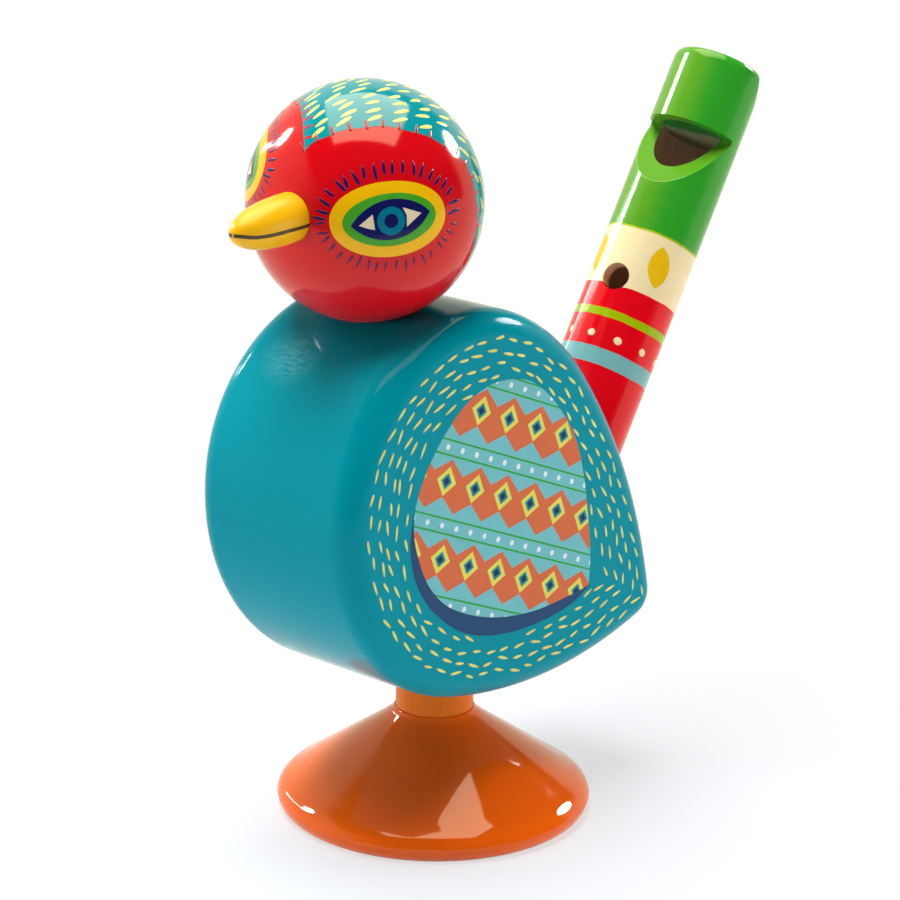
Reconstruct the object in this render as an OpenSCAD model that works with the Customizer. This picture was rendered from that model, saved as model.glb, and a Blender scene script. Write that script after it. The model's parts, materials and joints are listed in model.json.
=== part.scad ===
// Bird call: a wooden bird on a turned foot, with a whistle for a tail.
// The bird faces -Y, its left side is +X, and the foot stands on Z = 0 with its centre at the origin.
// Eight glued pieces: foot, leg dowel, body block, head dowel, head ball, beak, whistle tube, whistle block.

/* [Foot] */
// Largest diameter of the foot
foot_d = 56.6; // [50:0.1:66]
// Height of the foot
foot_h = 19.2; // [15:0.1:24]
// Diameter of the small flat on top of the foot
foot_top_d = 15.6; // [15.2:0.1:20]
// Rounding of the foot's rim
rim_r = 3.2; // [2.4:0.1:4.5]
// How far the flat underside cuts into that rounding
rim_cut = 0.4; // [0.1:0.1:1.5]

/* [Leg] */
// Diameter of the leg dowel
leg_d = 14; // [10:0.1:15]
// Length of leg that shows between the foot and the body
leg_gap = 6.5; // [3:0.1:16]
// Length of leg inside the foot
leg_in_foot = 10; // [6:0.1:13]
// Length of leg inside the body
leg_in_body = 14; // [8:0.1:20]

/* [Body] */
// Thickness of the body block, from side face to side face
body_w = 37.2; // [30:0.1:46]
// Rounding of the block's edges
edge_r = 4.7; // [2:0.1:5.2]
// Radius of the round breast
breast_r = 37; // [35:0.1:39]
// Distance of the breast's centre in front of the leg
breast_fwd = 4.3; // [0:0.1:9]
// Radius of the crown, under the head
crown_r = 31.8; // [29:0.1:34]
// Radius of the shoulder, behind the head
shoulder_r = 41.9; // [39:0.1:46]
// Radius of the pointed tail's rounding
tail_r = 5.8; // [5.3:0.1:8]
// Distance of the tail's centre behind the breast's centre
tail_back = 38.6; // [36:0.1:42]
// Distance of the tail's centre below the breast's centre
tail_drop = 28; // [25:0.1:31]
// Radius of the belly, from breast to tail
belly_r = 88.8; // [80:0.1:120]

/* [Head] */
// Diameter of the head ball
ball_d = 40; // [34:0.1:44]
// Lean of the neck in front of the upright, in degrees
neck_lean = 10.9; // [0:0.1:16]
// Depth of the flat on the ball, where it sits on the body
ball_flat = 0.8; // [0.4:0.1:1.5]
// Depth of the spot face that the body has for the ball
seat_depth = 0.5; // [0.3:0.1:1]
// Turn of the head to the bird's left, in degrees
head_turn = 5.5; // [0:0.5:15]
// Diameter of the dowel between head and body
neck_pin_d = 8; // [6:0.1:10]
// Length of that dowel inside the body
pin_in_body = 14; // [8:0.1:18]
// Length of that dowel inside the ball
pin_in_ball = 10; // [6:0.1:11]

/* [Beak] */
// Diameter of the beak where it leaves the ball
beak_d = 8.6; // [6:0.1:10]
// Length of beak in front of the ball
beak_len = 14.8; // [10:0.1:20]
// Length of the beak's shank inside the ball
beak_shank = 7; // [4:0.1:9]
// Tilt of the beak above the level, in degrees
beak_tilt = 1.5; // [0:0.5:6]

/* [Whistle] */
// Outer diameter of the whistle tube
tube_d = 17.5; // [16.5:0.1:20]
// Thickness of the tube's wall round its bore
tube_wall = 2.55; // [2.3:0.05:3]
// Length of tube outside the body, along its axis
tube_out = 81.6; // [70:0.1:100]
// Depth of the body's socket, along the same axis
socket_depth = 16; // [12:0.1:17]
// Lean of the tube behind the upright, in degrees
tube_lean = 31.3; // [25:0.1:38]
// Turn of the tube in its socket toward the bird's left, in degrees
tube_turn = 11; // [0:0.5:30]
// Rounding of the mouth end's outer edge
mouth_round = 1.5; // [0.5:0.1:2]

/* [Window] */
// Distance from the mouth end to the window's upright step
step_from_mouth = 13.5; // [12:0.1:18]
// Length of the window with its ramp, along the tube
window_len = 13.1; // [9:0.1:16]
// Length of the flat at the foot of the ramp
window_flat = 1; // [0.4:0.1:3]
// Height at which the window's cut stops above the tube's axis
window_stop = 1.2; // [0.5:0.1:3]
// Height of the windway over the block
windway_h = 1.2; // [0.8:0.1:1.8]
// Lean of the block's lower end, in degrees
block_lean = 10; // [6:0.5:14]
// Diameter of the tone hole
tone_d = 5.2; // [3.5:0.1:6]
// Distance from the mouth end to the tone hole's centre
tone_from_mouth = 45.7; // [36:0.1:60]

/* [Mouthpiece] */
// Radius of the scoop behind the mouthpiece
scoop_r = 15.5; // [14:0.1:20]
// Distance from the mouth end to where the scoop starts
scoop_len = 15; // [11:0.1:15.2]
// Wood that the scoop leaves behind the tube's axis
scoop_left = 0.7; // [0.2:0.1:2]

/* [Hidden] */
$fn = 96;

// Glue room round each dowel, shank and plug
glue_gap = 0.08;
// Glue room past the end of each dowel
end_gap = 0.4;
// Small chamfer on dowel ends
dowel_chamfer = 0.6;
// Overrun of cuts past the surface that they leave
over = 1;

// The outline's angles in degrees, counted from the tail's direction (+Y) toward the head's (+Z)
// Angle at which the breast passes into the crown, in degrees
crown_angle = 172;
// Angle at which the crown passes into the shoulder, in degrees
shoulder_angle = 67.6;
// Angle at which the shoulder passes into the back, in degrees
back_angle = 38.1;
// Angle on the back at which the whistle's axis meets it, in degrees
tube_angle = 22.1;
// Exponent of the beak's rounded taper
beak_power_share = 2.3;
// Steps along the beak's profile
beak_steps = 28;
// Steps across the body's rounded edge
edge_steps = 6;
// Length of one straight along the body's outline
outline_len = 2.6;

// Height of the centre of the rim's rounding
rim_z = rim_r - rim_cut;

function dir(a) = [cos(a), sin(a)];
function angle_of(v) = atan2(v[1], v[0]);

// Outline of the body in its own plane, [toward tail, up], from the breast's centre
breast_c = [0, 0];
crown_c = breast_c + (breast_r - crown_r) * dir(crown_angle);
shoulder_c = crown_c + (crown_r - shoulder_r) * dir(shoulder_angle);
tail_c = [tail_back, -tail_drop];

// The back leaves the shoulder at back_angle and meets the tail's circle without a corner
back_v = shoulder_c - tail_c;
back_extra = (back_v * back_v - pow(shoulder_r - tail_r, 2))
    / (2 * (back_v * dir(back_angle) + shoulder_r - tail_r));
back_r = shoulder_r + back_extra;
back_c = shoulder_c - back_extra * dir(back_angle);

// The belly's circle touches the breast's and the tail's from outside
belly_span = norm(tail_c);
belly_u = tail_c / belly_span;
belly_x = (pow(belly_r - breast_r, 2) - pow(belly_r - tail_r, 2) + pow(belly_span, 2)) / (2 * belly_span);
belly_y = sqrt(pow(belly_r - breast_r, 2) - pow(belly_x, 2));
belly_c = belly_u * belly_x + [-belly_u[1], belly_u[0]] * belly_y;

tail_top_a = angle_of(tail_c - back_c);
tail_low_a = angle_of(tail_c - belly_c);
breast_low_a = angle_of(breast_c - belly_c);

// Each arc is [centre, radius, from angle, to angle], in order from the tail over the back to the breast
ARCS = [
    [tail_c, tail_r, tail_low_a, tail_top_a],
    [back_c, back_r, tail_top_a, back_angle],
    [shoulder_c, shoulder_r, back_angle, shoulder_angle],
    [crown_c, crown_r, shoulder_angle, crown_angle],
    [breast_c, breast_r, crown_angle, 360 + breast_low_a],
    [belly_c, belly_r, 360 + breast_low_a, 360 + tail_low_a]
];

// Straights that stand for one arc: about as long as outline_len, and at most 12 degrees each
function arc_steps(a) = ceil(max(a[1] * PI * (a[3] - a[2]) / 180 / outline_len, (a[3] - a[2]) / 12));

// Points round the body's outline, set in by a distance
function outline(inset) = [
    for (a = ARCS)
        let (n = arc_steps(a))
            for (k = [0 : n - 1])
                a[0] + (a[1] - inset) * dir(a[2] + (a[3] - a[2]) * k / n)
];

// Place of the body over the leg
belly_at_leg = belly_c[1] - sqrt(pow(belly_r, 2) - pow(breast_fwd - belly_c[0], 2));
body_z = foot_h + leg_gap - belly_at_leg;
function world(p) = [0, p[0] - breast_fwd, p[1] + body_z];

// Distances along the neck's axis from the crown's centre
seat_z = crown_r - seat_depth;
ball_z = seat_z + ball_d / 2 - ball_flat;
seat_r = sqrt(pow(ball_d / 2, 2) - pow(ball_d / 2 - ball_flat, 2)) + glue_gap;

// Distance from the ball's centre to the beak's shoulder on the ball's surface
beak_from = sqrt(pow(ball_d / 2, 2) - pow(beak_d / 2, 2));

// Heights along the whistle's axis from the point where it enters the back
tube_r = tube_d / 2;
bore_r = tube_r - tube_wall;
bore_d = 2 * bore_r;
step_z = tube_out - step_from_mouth;
ramp_z = step_z - window_len;
tone_z = tube_out - tone_from_mouth;
ramp_run = (window_len - window_flat) / (tube_r - window_stop);
scoop_h = scoop_left + scoop_r;
scoop_z = tube_out - scoop_len + sqrt(pow(scoop_r, 2) - pow(scoop_h - tube_r, 2));
block_r = bore_r - glue_gap;
block_top = bore_r - windway_h;
block_fall = tan(block_lean);

// Carries a piece from the body's plane, [toward tail, up, to the left], into place
module in_body_plane() {
    translate(world([0, 0])) rotate([90, 0, 90]) children();
}

// Carries a piece from the neck's axis, +Z up through the ball's centre
module on_neck() {
    translate(world(crown_c)) rotate([neck_lean, 0, 0]) children();
}

// Carries a piece from the beak's axis, +Z out of the ball from its centre
module on_beak() {
    on_neck()
        translate([0, 0, ball_z])
            rotate([-neck_lean, 0, 0])
                rotate([0, 0, head_turn])
                    rotate([90 - beak_tilt, 0, 0])
                        children();
}

// Carries a piece from the whistle's axis, +Z to the mouth end and -Y out of the window
module on_whistle() {
    translate(world(back_c + back_r * dir(tube_angle)))
        rotate([-tube_lean, 0, 0])
            rotate([0, 0, tube_turn])
                children();
}

// A prism along X over an outline in the YZ plane
module side_prism(width, points) {
    rotate([90, 0, 90]) linear_extrude(width, center = true) polygon(points);
}

// A round peg from z0 to z1 with chamfered ends
module peg(r, z0, z1) {
    c = dowel_chamfer;
    rotate_extrude()
        polygon([[0, z0], [r - c, z0], [r, z0 + c], [r, z1 - c], [r - c, z1], [0, z1]]);
}

// Outline of half the foot: cone flank tangent to the rounded rim
module foot_outline() {
    rim_c = [foot_d / 2 - rim_r, rim_z];
    top = [foot_top_d / 2, foot_h];
    to_top = top - rim_c;
    flank = rim_c + rim_r * dir(angle_of(to_top) - acos(rim_r / norm(to_top)));
    table_x = rim_c[0] + sqrt(pow(rim_r, 2) - pow(rim_z, 2));
    polygon([[0, 0], [table_x, 0], rim_c, flank, top, [0, foot_h]]);
    intersection() {
        translate(rim_c) circle(rim_r);
        square([foot_d, foot_h]);
    }
}

module foot() {
    color("darkorange")
        difference() {
            rotate_extrude($fn = 180) foot_outline();
            translate([0, 0, foot_h - leg_in_foot - end_gap])
                cylinder(r = leg_d / 2 + glue_gap, h = leg_in_foot + end_gap + over);
        }
}

module leg_dowel() {
    color("peru")
        peg(leg_d / 2, foot_h - leg_in_foot, foot_h + leg_gap + leg_in_body);
}

// The block: its outline drawn in and thinned step by step over a quarter round at each edge
module block_form() {
    in_body_plane()
        hull()
            for (k = [0 : edge_steps])
                let (t = 90 * k / edge_steps)
                    linear_extrude(body_w - 2 * edge_r * (1 - sin(t)), center = true)
                        polygon(outline(edge_r * (1 - cos(t))));
}

module body_block() {
    color("darkcyan")
        difference() {
            block_form();
            // Bore for the leg
            translate([0, 0, foot_h])
                cylinder(r = leg_d / 2 + glue_gap, h = leg_gap + leg_in_body + end_gap);
            // Spot face and bore for the head
            on_neck() {
                translate([0, 0, seat_z]) cylinder(r = seat_r, h = seat_depth + over);
                translate([0, 0, seat_z - pin_in_body - end_gap])
                    cylinder(r = neck_pin_d / 2 + glue_gap, h = pin_in_body + end_gap + over);
            }
            // Socket for the whistle, whose floor closes the tube
            on_whistle()
                translate([0, 0, -socket_depth])
                    cylinder(r = tube_r + glue_gap, h = socket_depth + tube_d);
        }
}

module head_dowel() {
    color("burlywood")
        on_neck() peg(neck_pin_d / 2, seat_z - pin_in_body, seat_z + pin_in_ball);
}

module head_ball() {
    color("crimson")
        difference() {
            on_neck()
                difference() {
                    translate([0, 0, ball_z]) sphere(d = ball_d, $fn = 128);
                    translate([0, 0, seat_z - ball_d]) cylinder(d = ball_d, h = ball_d);
                    translate([0, 0, seat_z - over])
                        cylinder(r = neck_pin_d / 2 + glue_gap, h = over + pin_in_ball + end_gap);
                }
            on_beak()
                translate([0, 0, beak_from - beak_shank - end_gap])
                    cylinder(r = beak_d / 2 + glue_gap, h = beak_shank + end_gap + beak_len);
        }
}

// Half outline of the beak: shank, then a taper that rounds into the tip
function beak_points() = concat(
    [[0, beak_from - beak_shank], [beak_d / 2, beak_from - beak_shank]],
    [
        for (k = [0 : beak_steps])
            let (t = 90 * k / beak_steps)
                [
                    beak_d / 2 * cos(t),
                    beak_from + beak_len * pow(sin(t), 2 / beak_power_share)
                ]
    ]
);

module beak() {
    color("gold") on_beak() rotate_extrude() polygon(beak_points());
}

// Outer form of the tube with its rounded mouth end
module tube_form() {
    c = dowel_chamfer;
    m = mouth_round;
    rotate_extrude() {
        polygon([
            [0, -socket_depth],
            [tube_r - c, -socket_depth],
            [tube_r, c - socket_depth],
            [tube_r, tube_out - m],
            [tube_r - m, tube_out - m],
            [tube_r - m, tube_out],
            [0, tube_out]
        ]);
        intersection() {
            translate([tube_r - m, tube_out - m]) circle(m);
            translate([0, tube_out - m]) square([tube_r, m]);
        }
    }
}

// Hollow behind the mouthpiece, cut across tube and block alike
module scoop() {
    translate([0, scoop_h, scoop_z])
        rotate([0, 90, 0])
            cylinder(r = scoop_r, h = 2 * tube_d, center = true, $fn = 180);
}

// The window: an upright step, a short flat, and a ramp out to the tube's surface
module window_cut() {
    out = tube_r + over;
    side_prism(2 * tube_d, [
        [-out, ramp_z - over * ramp_run],
        [-window_stop, step_z - window_flat],
        [-window_stop, step_z],
        [-out, step_z]
    ]);
}

module whistle_tube() {
    color("firebrick")
        on_whistle()
            difference() {
                tube_form();
                translate([0, 0, -socket_depth - over])
                    cylinder(r = bore_r, h = socket_depth + tube_out + 2 * over);
                window_cut();
                translate([0, 0, tone_z])
                    rotate([90, 0, 0])
                        cylinder(d = tone_d, h = tube_d);
                scoop();
            }
}

// Plug of the mouth end: flat on top for the windway, leaning end face over the bore
module whistle_block() {
    color("forestgreen")
        on_whistle()
            difference() {
                translate([0, 0, step_z - bore_d])
                    cylinder(r = block_r, h = tube_out - step_z + bore_d);
                translate([-tube_r, -tube_r - block_top, step_z - 2 * tube_d])
                    cube([tube_d, tube_r, 4 * tube_d]);
                side_prism(tube_d, [
                    [-block_top - over, step_z + over * block_fall],
                    [tube_r, step_z - (block_top + tube_r) * block_fall],
                    [tube_r, step_z - 2 * bore_d],
                    [-block_top - over, step_z - 2 * bore_d]
                ]);
                scoop();
            }
}

foot();
leg_dowel();
body_block();
head_dowel();
head_ball();
beak();
whistle_tube();
whistle_block();
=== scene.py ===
# %% [markdown]
# # A painted bird call
# The object is a wooden whistle in the shape of a bird. A ball is the head, a thick round block is the
# body, a bored whistle stands out of the back as the tail, and a turned cone is the foot. Everything is
# painted in glossy lacquer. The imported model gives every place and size, so it is loaded first, and each
# visible piece is then made again with smoother surfaces, painted details and real finishes.

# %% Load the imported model
import json
import math

import bmesh
import bpy
from mathutils import Matrix, Vector

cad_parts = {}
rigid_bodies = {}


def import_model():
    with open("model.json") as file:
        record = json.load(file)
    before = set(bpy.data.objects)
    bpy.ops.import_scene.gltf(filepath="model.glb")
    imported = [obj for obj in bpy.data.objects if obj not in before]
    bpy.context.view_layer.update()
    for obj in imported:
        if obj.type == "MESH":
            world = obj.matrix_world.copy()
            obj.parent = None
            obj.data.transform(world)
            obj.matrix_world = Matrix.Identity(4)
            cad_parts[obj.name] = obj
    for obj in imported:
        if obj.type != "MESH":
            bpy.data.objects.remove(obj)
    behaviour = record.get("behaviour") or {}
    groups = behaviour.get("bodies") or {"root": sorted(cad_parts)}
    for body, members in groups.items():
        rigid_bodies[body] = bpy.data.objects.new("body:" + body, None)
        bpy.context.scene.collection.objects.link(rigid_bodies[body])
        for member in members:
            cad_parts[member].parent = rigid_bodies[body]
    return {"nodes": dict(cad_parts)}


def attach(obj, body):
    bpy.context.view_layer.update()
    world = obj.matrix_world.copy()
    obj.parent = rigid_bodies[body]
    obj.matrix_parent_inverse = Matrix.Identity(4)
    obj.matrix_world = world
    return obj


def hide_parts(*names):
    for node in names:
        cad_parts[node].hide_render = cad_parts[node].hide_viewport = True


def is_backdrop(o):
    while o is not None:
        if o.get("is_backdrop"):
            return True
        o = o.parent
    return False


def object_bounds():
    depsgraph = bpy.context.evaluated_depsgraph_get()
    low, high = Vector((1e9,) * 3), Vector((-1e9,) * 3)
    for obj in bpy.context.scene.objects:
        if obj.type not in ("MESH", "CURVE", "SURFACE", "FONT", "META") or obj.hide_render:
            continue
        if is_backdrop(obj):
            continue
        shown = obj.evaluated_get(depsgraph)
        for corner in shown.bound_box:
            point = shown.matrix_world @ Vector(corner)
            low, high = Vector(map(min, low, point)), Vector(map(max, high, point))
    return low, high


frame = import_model()
cad_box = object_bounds()
print("pieces of wood:", ", ".join(sorted(frame["nodes"])))

# %% [markdown]
# Blender works in metres, but a wood turner thinks in millimetres. All sizes below are written in
# millimetres, and one factor turns them into metres at the moment a mesh is made.

# %% Units and places
MM = 0.001
IN_PLACE = Matrix.Identity(4)


def turned(axis, degrees):
    """A rotation about one axis, as a 4x4 matrix."""
    return Matrix.Rotation(math.radians(degrees), 4, axis)


def moved(x, y, z):
    """A move in millimetres, as a 4x4 matrix."""
    return Matrix.Translation((x, y, z))


def in_metres(place):
    """A matrix that moves in millimetres, for a mesh in metres."""
    return Matrix.Scale(MM, 4) @ place @ Matrix.Scale(1 / MM, 4)


def heading(degrees, length=1.0):
    """A flat vector of that length, at that angle."""
    return Vector((math.cos(math.radians(degrees)), math.sin(math.radians(degrees)))) * length


def angle_of(v):
    """The angle of a flat vector, in degrees."""
    return math.degrees(math.atan2(v.y, v.x))


def mix(a, b, share):
    """The value that lies that share of the way from a to b."""
    return a + (b - a) * share


print("one unit is a metre, so 1 mm is", MM)

# %% [markdown]
# Every mesh goes through the same few steps: it is made, its doubled points are merged, its modifiers
# are turned into plain mesh, and its corners are marked where they should stay sharp.

# %% Mesh helpers


def in_scene(name, data):
    """An object that holds this data, linked into the scene."""
    obj = bpy.data.objects.new(name, data)
    bpy.context.scene.collection.objects.link(obj)
    return obj


def new_piece(name, points, faces=(), place=IN_PLACE, edges=()):
    """A mesh from points in millimetres, carried to its place, with its object at the origin."""
    mesh = bpy.data.meshes.new(name)
    mesh.from_pydata([(place @ Vector(p)) * MM for p in points], edges, faces)
    return in_scene(name, mesh)


def tidy(obj, merge=0.0005):
    """Merges doubled points, turns every face outwards and shades smoothly."""
    bm = bmesh.new()
    bm.from_mesh(obj.data)
    bmesh.ops.remove_doubles(bm, verts=bm.verts, dist=merge * MM)
    bmesh.ops.dissolve_degenerate(bm, edges=bm.edges, dist=merge * MM)
    bmesh.ops.recalc_face_normals(bm, faces=bm.faces)
    for face in bm.faces:
        face.smooth = True
    bm.to_mesh(obj.data)
    bm.free()


def bake(obj):
    """Replaces an object's mesh by what its modifiers make of it, and removes them."""
    bpy.context.view_layer.update()
    graph = bpy.context.evaluated_depsgraph_get()
    mesh = bpy.data.meshes.new_from_object(obj.evaluated_get(graph))
    obj.modifiers.clear()
    obj.data = mesh
    mesh.name = obj.name
    return obj


def keep_corners(obj, degrees):
    """Shades smoothly, except over edges that turn by more than this angle."""
    for face in obj.data.polygons:
        face.use_smooth = True
    obj.data.set_sharp_from_angle(angle=math.radians(degrees))
    return obj


print("mesh helpers ready")

# %% [markdown]
# ## Node helpers
# The geometry trees and the materials are built from the same steps: add a node, set its inputs and join
# sockets. A wire stands for a node's output, and it can be used in a formula like a number. So the
# formulas below read as in a notebook, and each sign in them becomes one math node.

# %% Wires and nodes


class Wire:
    """A node's output that can stand in a formula."""

    def __init__(self, tree, socket):
        self.tree, self.socket = tree, socket

    def __add__(self, other):
        return calc("ADD", self, other)

    def __sub__(self, other):
        return calc("SUBTRACT", self, other)

    def __rsub__(self, other):
        return calc("SUBTRACT", other, self)

    def __mul__(self, other):
        return calc("MULTIPLY", self, other)

    def __truediv__(self, other):
        return calc("DIVIDE", self, other)

    def __mod__(self, other):
        return calc("FLOORED_MODULO", self, other)

    def __abs__(self):
        return calc("ABSOLUTE", self)

    def __lt__(self, other):
        return calc("LESS_THAN", self, other)

    def __gt__(self, other):
        return calc("GREATER_THAN", self, other)


def join(tree, node, inputs):
    """Sets a node's inputs, by name or number. A wire is linked, and anything else is written in."""
    for key, value in inputs.items():
        if isinstance(value, Wire):
            tree.links.new(value.socket, node.inputs[key])
        else:
            node.inputs[key].default_value = value


def add(tree, kind, inputs=None, **settings):
    """Adds a node with its settings and inputs."""
    node = tree.nodes.new(kind)
    for key, value in settings.items():
        setattr(node, key, value)
    join(tree, node, inputs or {})
    return node


def get(tree, kind, inputs=None, output=0, **settings):
    """Adds a node and gives the wire of one of its outputs."""
    return Wire(tree, add(tree, kind, inputs, **settings).outputs[output])


def calc(what, *values):
    """A math node's result."""
    tree = next(value.tree for value in values if isinstance(value, Wire))
    return get(tree, "ShaderNodeMath", dict(enumerate(values)), operation=what)


def vector(what, first, *others):
    """A vector math node's result."""
    output = 1 if what in ("LENGTH", "DOT_PRODUCT", "DISTANCE") else 0
    return get(first.tree, "ShaderNodeVectorMath", dict(enumerate((first, *others))), output, operation=what)


def scaled(wire, size):
    """A vector or a colour times one number."""
    return get(wire.tree, "ShaderNodeVectorMath", {0: wire, "Scale": size}, operation="SCALE")


def parts(wire):
    """The X, Y and Z of a vector."""
    return [Wire(wire.tree, out) for out in add(wire.tree, "ShaderNodeSeparateXYZ", {0: wire}).outputs]


def ramp_up(wire, start, end):
    """0 up to the start, 1 from the end on, and a straight line between."""
    return get(wire.tree, "ShaderNodeMapRange", {"Value": wire, "From Min": start, "From Max": end})


def noise(where, scale, detail=2.0):
    """A cloudy value between 0 and 1."""
    return get(where.tree, "ShaderNodeTexNoise", {"Vector": where, "Scale": scale, "Detail": detail}, "Fac")


def blend(share, a, b):
    """The first colour where the share is 0, and the second where it is 1."""
    return get(share.tree, "ShaderNodeMix", {"Factor": share, 6: a, 7: b}, 2, data_type="RGBA")


def colour_ramp(wire, stops, change):
    """A colour by a value, from stops of a value and its colour."""
    node = add(wire.tree, "ShaderNodeValToRGB", {0: wire})
    node.color_ramp.interpolation = change
    elements = node.color_ramp.elements
    elements.remove(elements[1])
    elements[0].position, elements[0].color = stops[0]
    for value, colour in stops[1:]:
        elements.new(value).color = colour
    return Wire(wire.tree, node.outputs["Color"])


print("a formula's signs each add a node")

# %% [markdown]
# A tree that is used several times has named inputs. They come back as wires, and a piece that uses a
# geometry tree sets them by the identifiers of their sockets before the tree first runs.

# %% Trees with named inputs


def named_tree(name, kind, ins, outs):
    """A new tree with named inputs and outputs: the tree, its input wires and its output node."""
    tree = bpy.data.node_groups.new(name, kind)
    for key, (what, value) in ins.items():
        item = tree.interface.new_socket(key, in_out="INPUT", socket_type="NodeSocket" + what)
        if value is not None:
            item.default_value = value
    for key, what in outs.items():
        tree.interface.new_socket(key, in_out="OUTPUT", socket_type="NodeSocket" + what)
    inputs = tree.nodes.new("NodeGroupInput").outputs
    return tree, {key: Wire(tree, inputs[key]) for key in ins}, tree.nodes.new("NodeGroupOutput")


def run_tree(obj, tree, **values):
    """Puts a geometry tree on an object, sets its inputs, and bakes the result."""
    modifier = obj.modifiers.new(tree.name, "NODES")
    modifier.node_group = tree
    for item in tree.interface.items_tree:
        if item.item_type == "SOCKET" and item.in_out == "INPUT" and item.name in values:
            modifier[item.identifier] = values[item.name]
    return bake(obj)


print("tree helpers ready")

# %% [markdown]
# ## Paint and wood
# Screen colours are easier to read off a swatch as numbers from 0 to 255. The shader wants linear light,
# so one helper converts them.

# %% Colours


def paint(*swatch):
    """A screen colour of 0 to 255 as linear light."""
    shares = [value / 255 for value in swatch]
    return (*(s / 12.92 if s <= 0.04045 else ((s + 0.055) / 1.055) ** 2.4 for s in shares), 1.0)


TEAL = paint(0, 145, 158)
RED = paint(210, 4, 18)
CAP_TEAL = paint(0, 144, 150)
FOOT_ORANGE = paint(252, 100, 8)
LEG_ORANGE, LEG_FIBRES = paint(250, 128, 8), paint(222, 102, 2)
BEAK_YELLOW = paint(244, 182, 8)
RING_YELLOW = paint(250, 190, 4)
LEAF_YELLOW = paint(242, 188, 20)
LEAF_GREEN = paint(70, 165, 40)
NAVY = paint(18, 22, 88)
THIN_NAVY = paint(74, 24, 84)
IRIS_TEAL = paint(0, 120, 142)
CREAM = paint(238, 218, 178)
STRAW = paint(230, 225, 122)
CRESCENT_BLUE = paint(45, 78, 115)
MOUTH_BROWN = paint(75, 62, 38)
# The second green is painted light: the lit ramp, and a painted reflection down the tube's green
WHISTLE_GREEN, SHEEN_GREEN = paint(48, 158, 38), paint(92, 158, 34)
WHISTLE_RED = paint(236, 2, 22)
BAND_CREAM, BAND_BLUE, LINE_LIME = paint(250, 226, 172), paint(124, 180, 178), paint(165, 188, 0)
print("teal in linear light:", [round(c, 3) for c in TEAL])

# %% [markdown]
# Glossy lacquer on wood is never quite flat or even. Brushing and turning leave long low waves, spraying
# leaves a fine orange peel, and the pigment is a little thicker in places. One node group makes these
# three effects for every painted piece. A second one draws the fibres of bare or stained wood. The groups
# give out a colour, a roughness or a height, and the shader itself stays in each material.

# %% The lacquer film and the grain


def lacquer_film():
    tree, give, out = named_tree(
        "lacquer_film", "ShaderNodeTree",
        {
            "Paint": ("Color", (0.5, 0.5, 0.5, 1.0)),
            "Vector": ("Vector", None),
            "Unevenness": ("Float", 0.06),
            "Gloss": ("Float", 0.12),
            "Waves": ("Float", 0.5),
        },
        {"Color": "Color", "Roughness": "Float", "Height": "Float"},
    )
    where = give["Vector"]
    cloud, specks = noise(where, 90.0, 3.0), noise(where, 700.0)
    peel, swell = noise(where, 900.0, 1.0), noise(where, 150.0, 1.5)
    join(tree, out, {
        "Color": scaled(give["Paint"], (cloud - 0.5) * give["Unevenness"] + 1.0),
        "Roughness": (specks * 0.5 + 0.75) * give["Gloss"],
        "Height": peel * 0.06 + swell * give["Waves"],
    })
    return tree


def wood_grain():
    """Long fine fibres along the Z of the vector, with a slow change of tone across them."""
    tree, give, out = named_tree(
        "wood_grain", "ShaderNodeTree",
        {
            "Light": ("Color", (0.8, 0.6, 0.4, 1.0)),
            "Dark": ("Color", (0.5, 0.35, 0.2, 1.0)),
            "Vector": ("Vector", None),
            "Fibres": ("Float", 1600.0),
        },
        {"Color": "Color", "Height": "Float"},
    )
    long_way = vector("MULTIPLY", give["Vector"], (1.0, 1.0, 0.06))
    fibre, ring = noise(long_way, give["Fibres"]), noise(long_way, give["Fibres"] * 0.22)
    share = (ring * 1.2 - 0.1) * (fibre * 0.8 + 0.6)
    join(tree, out, {"Color": blend(share, give["Light"], give["Dark"]), "Height": fibre})
    return tree


LACQUER, GRAIN = lacquer_film(), wood_grain()
print("shared effects:", LACQUER.name, GRAIN.name)

# %% [markdown]
# A painted piece gets one Principled shader. The pigment is fairly matt, and a clear coat over it carries
# the sharp reflections, as on real lacquer. Each material has its own colour, gloss and waviness.

# %% A material for each paint
WAVE_DEPTH = 0.012


def empty_material(name):
    """A material with a Principled shader, and Object coordinates."""
    material = bpy.data.materials.new(name)
    material.use_nodes = True
    tree = material.node_tree
    tree.nodes.clear()
    shader = add(tree, "ShaderNodeBsdfPrincipled")
    add(tree, "ShaderNodeOutputMaterial", {0: Wire(tree, shader.outputs[0])})
    return material, tree, shader, get(tree, "ShaderNodeTexCoord", None, "Object")


def finish_with_film(shader, where, colour, gloss=0.22, waves=0.5, uneven=0.08, coat=1.42, blur=0.1):
    """Joins the lacquer film to a shader. Coat is the refractive index of the clear layer: the higher,
    the stronger its reflections. Blur is its roughness."""
    tree = where.tree
    settings = {"Paint": colour, "Vector": where, "Gloss": gloss, "Waves": waves, "Unevenness": uneven}
    film = add(tree, "ShaderNodeGroup", settings, node_tree=LACQUER)
    colour, roughness, height = (Wire(tree, out) for out in film.outputs)
    bump = add(tree, "ShaderNodeBump", {"Height": height, "Distance": WAVE_DEPTH * MM})
    join(tree, shader, {
        "Base Color": colour, "Roughness": roughness, "Normal": Wire(tree, bump.outputs[0]),
        "Specular IOR Level": 0.0, "Coat Weight": 1.0, "Coat Roughness": blur, "Coat IOR": coat,
    })
    return colour, height, bump


def painted(name, colour, **film):
    """A plain lacquer colour."""
    material, _, shader, where = empty_material(name)
    finish_with_film(shader, where, colour, **film)
    return material


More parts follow.
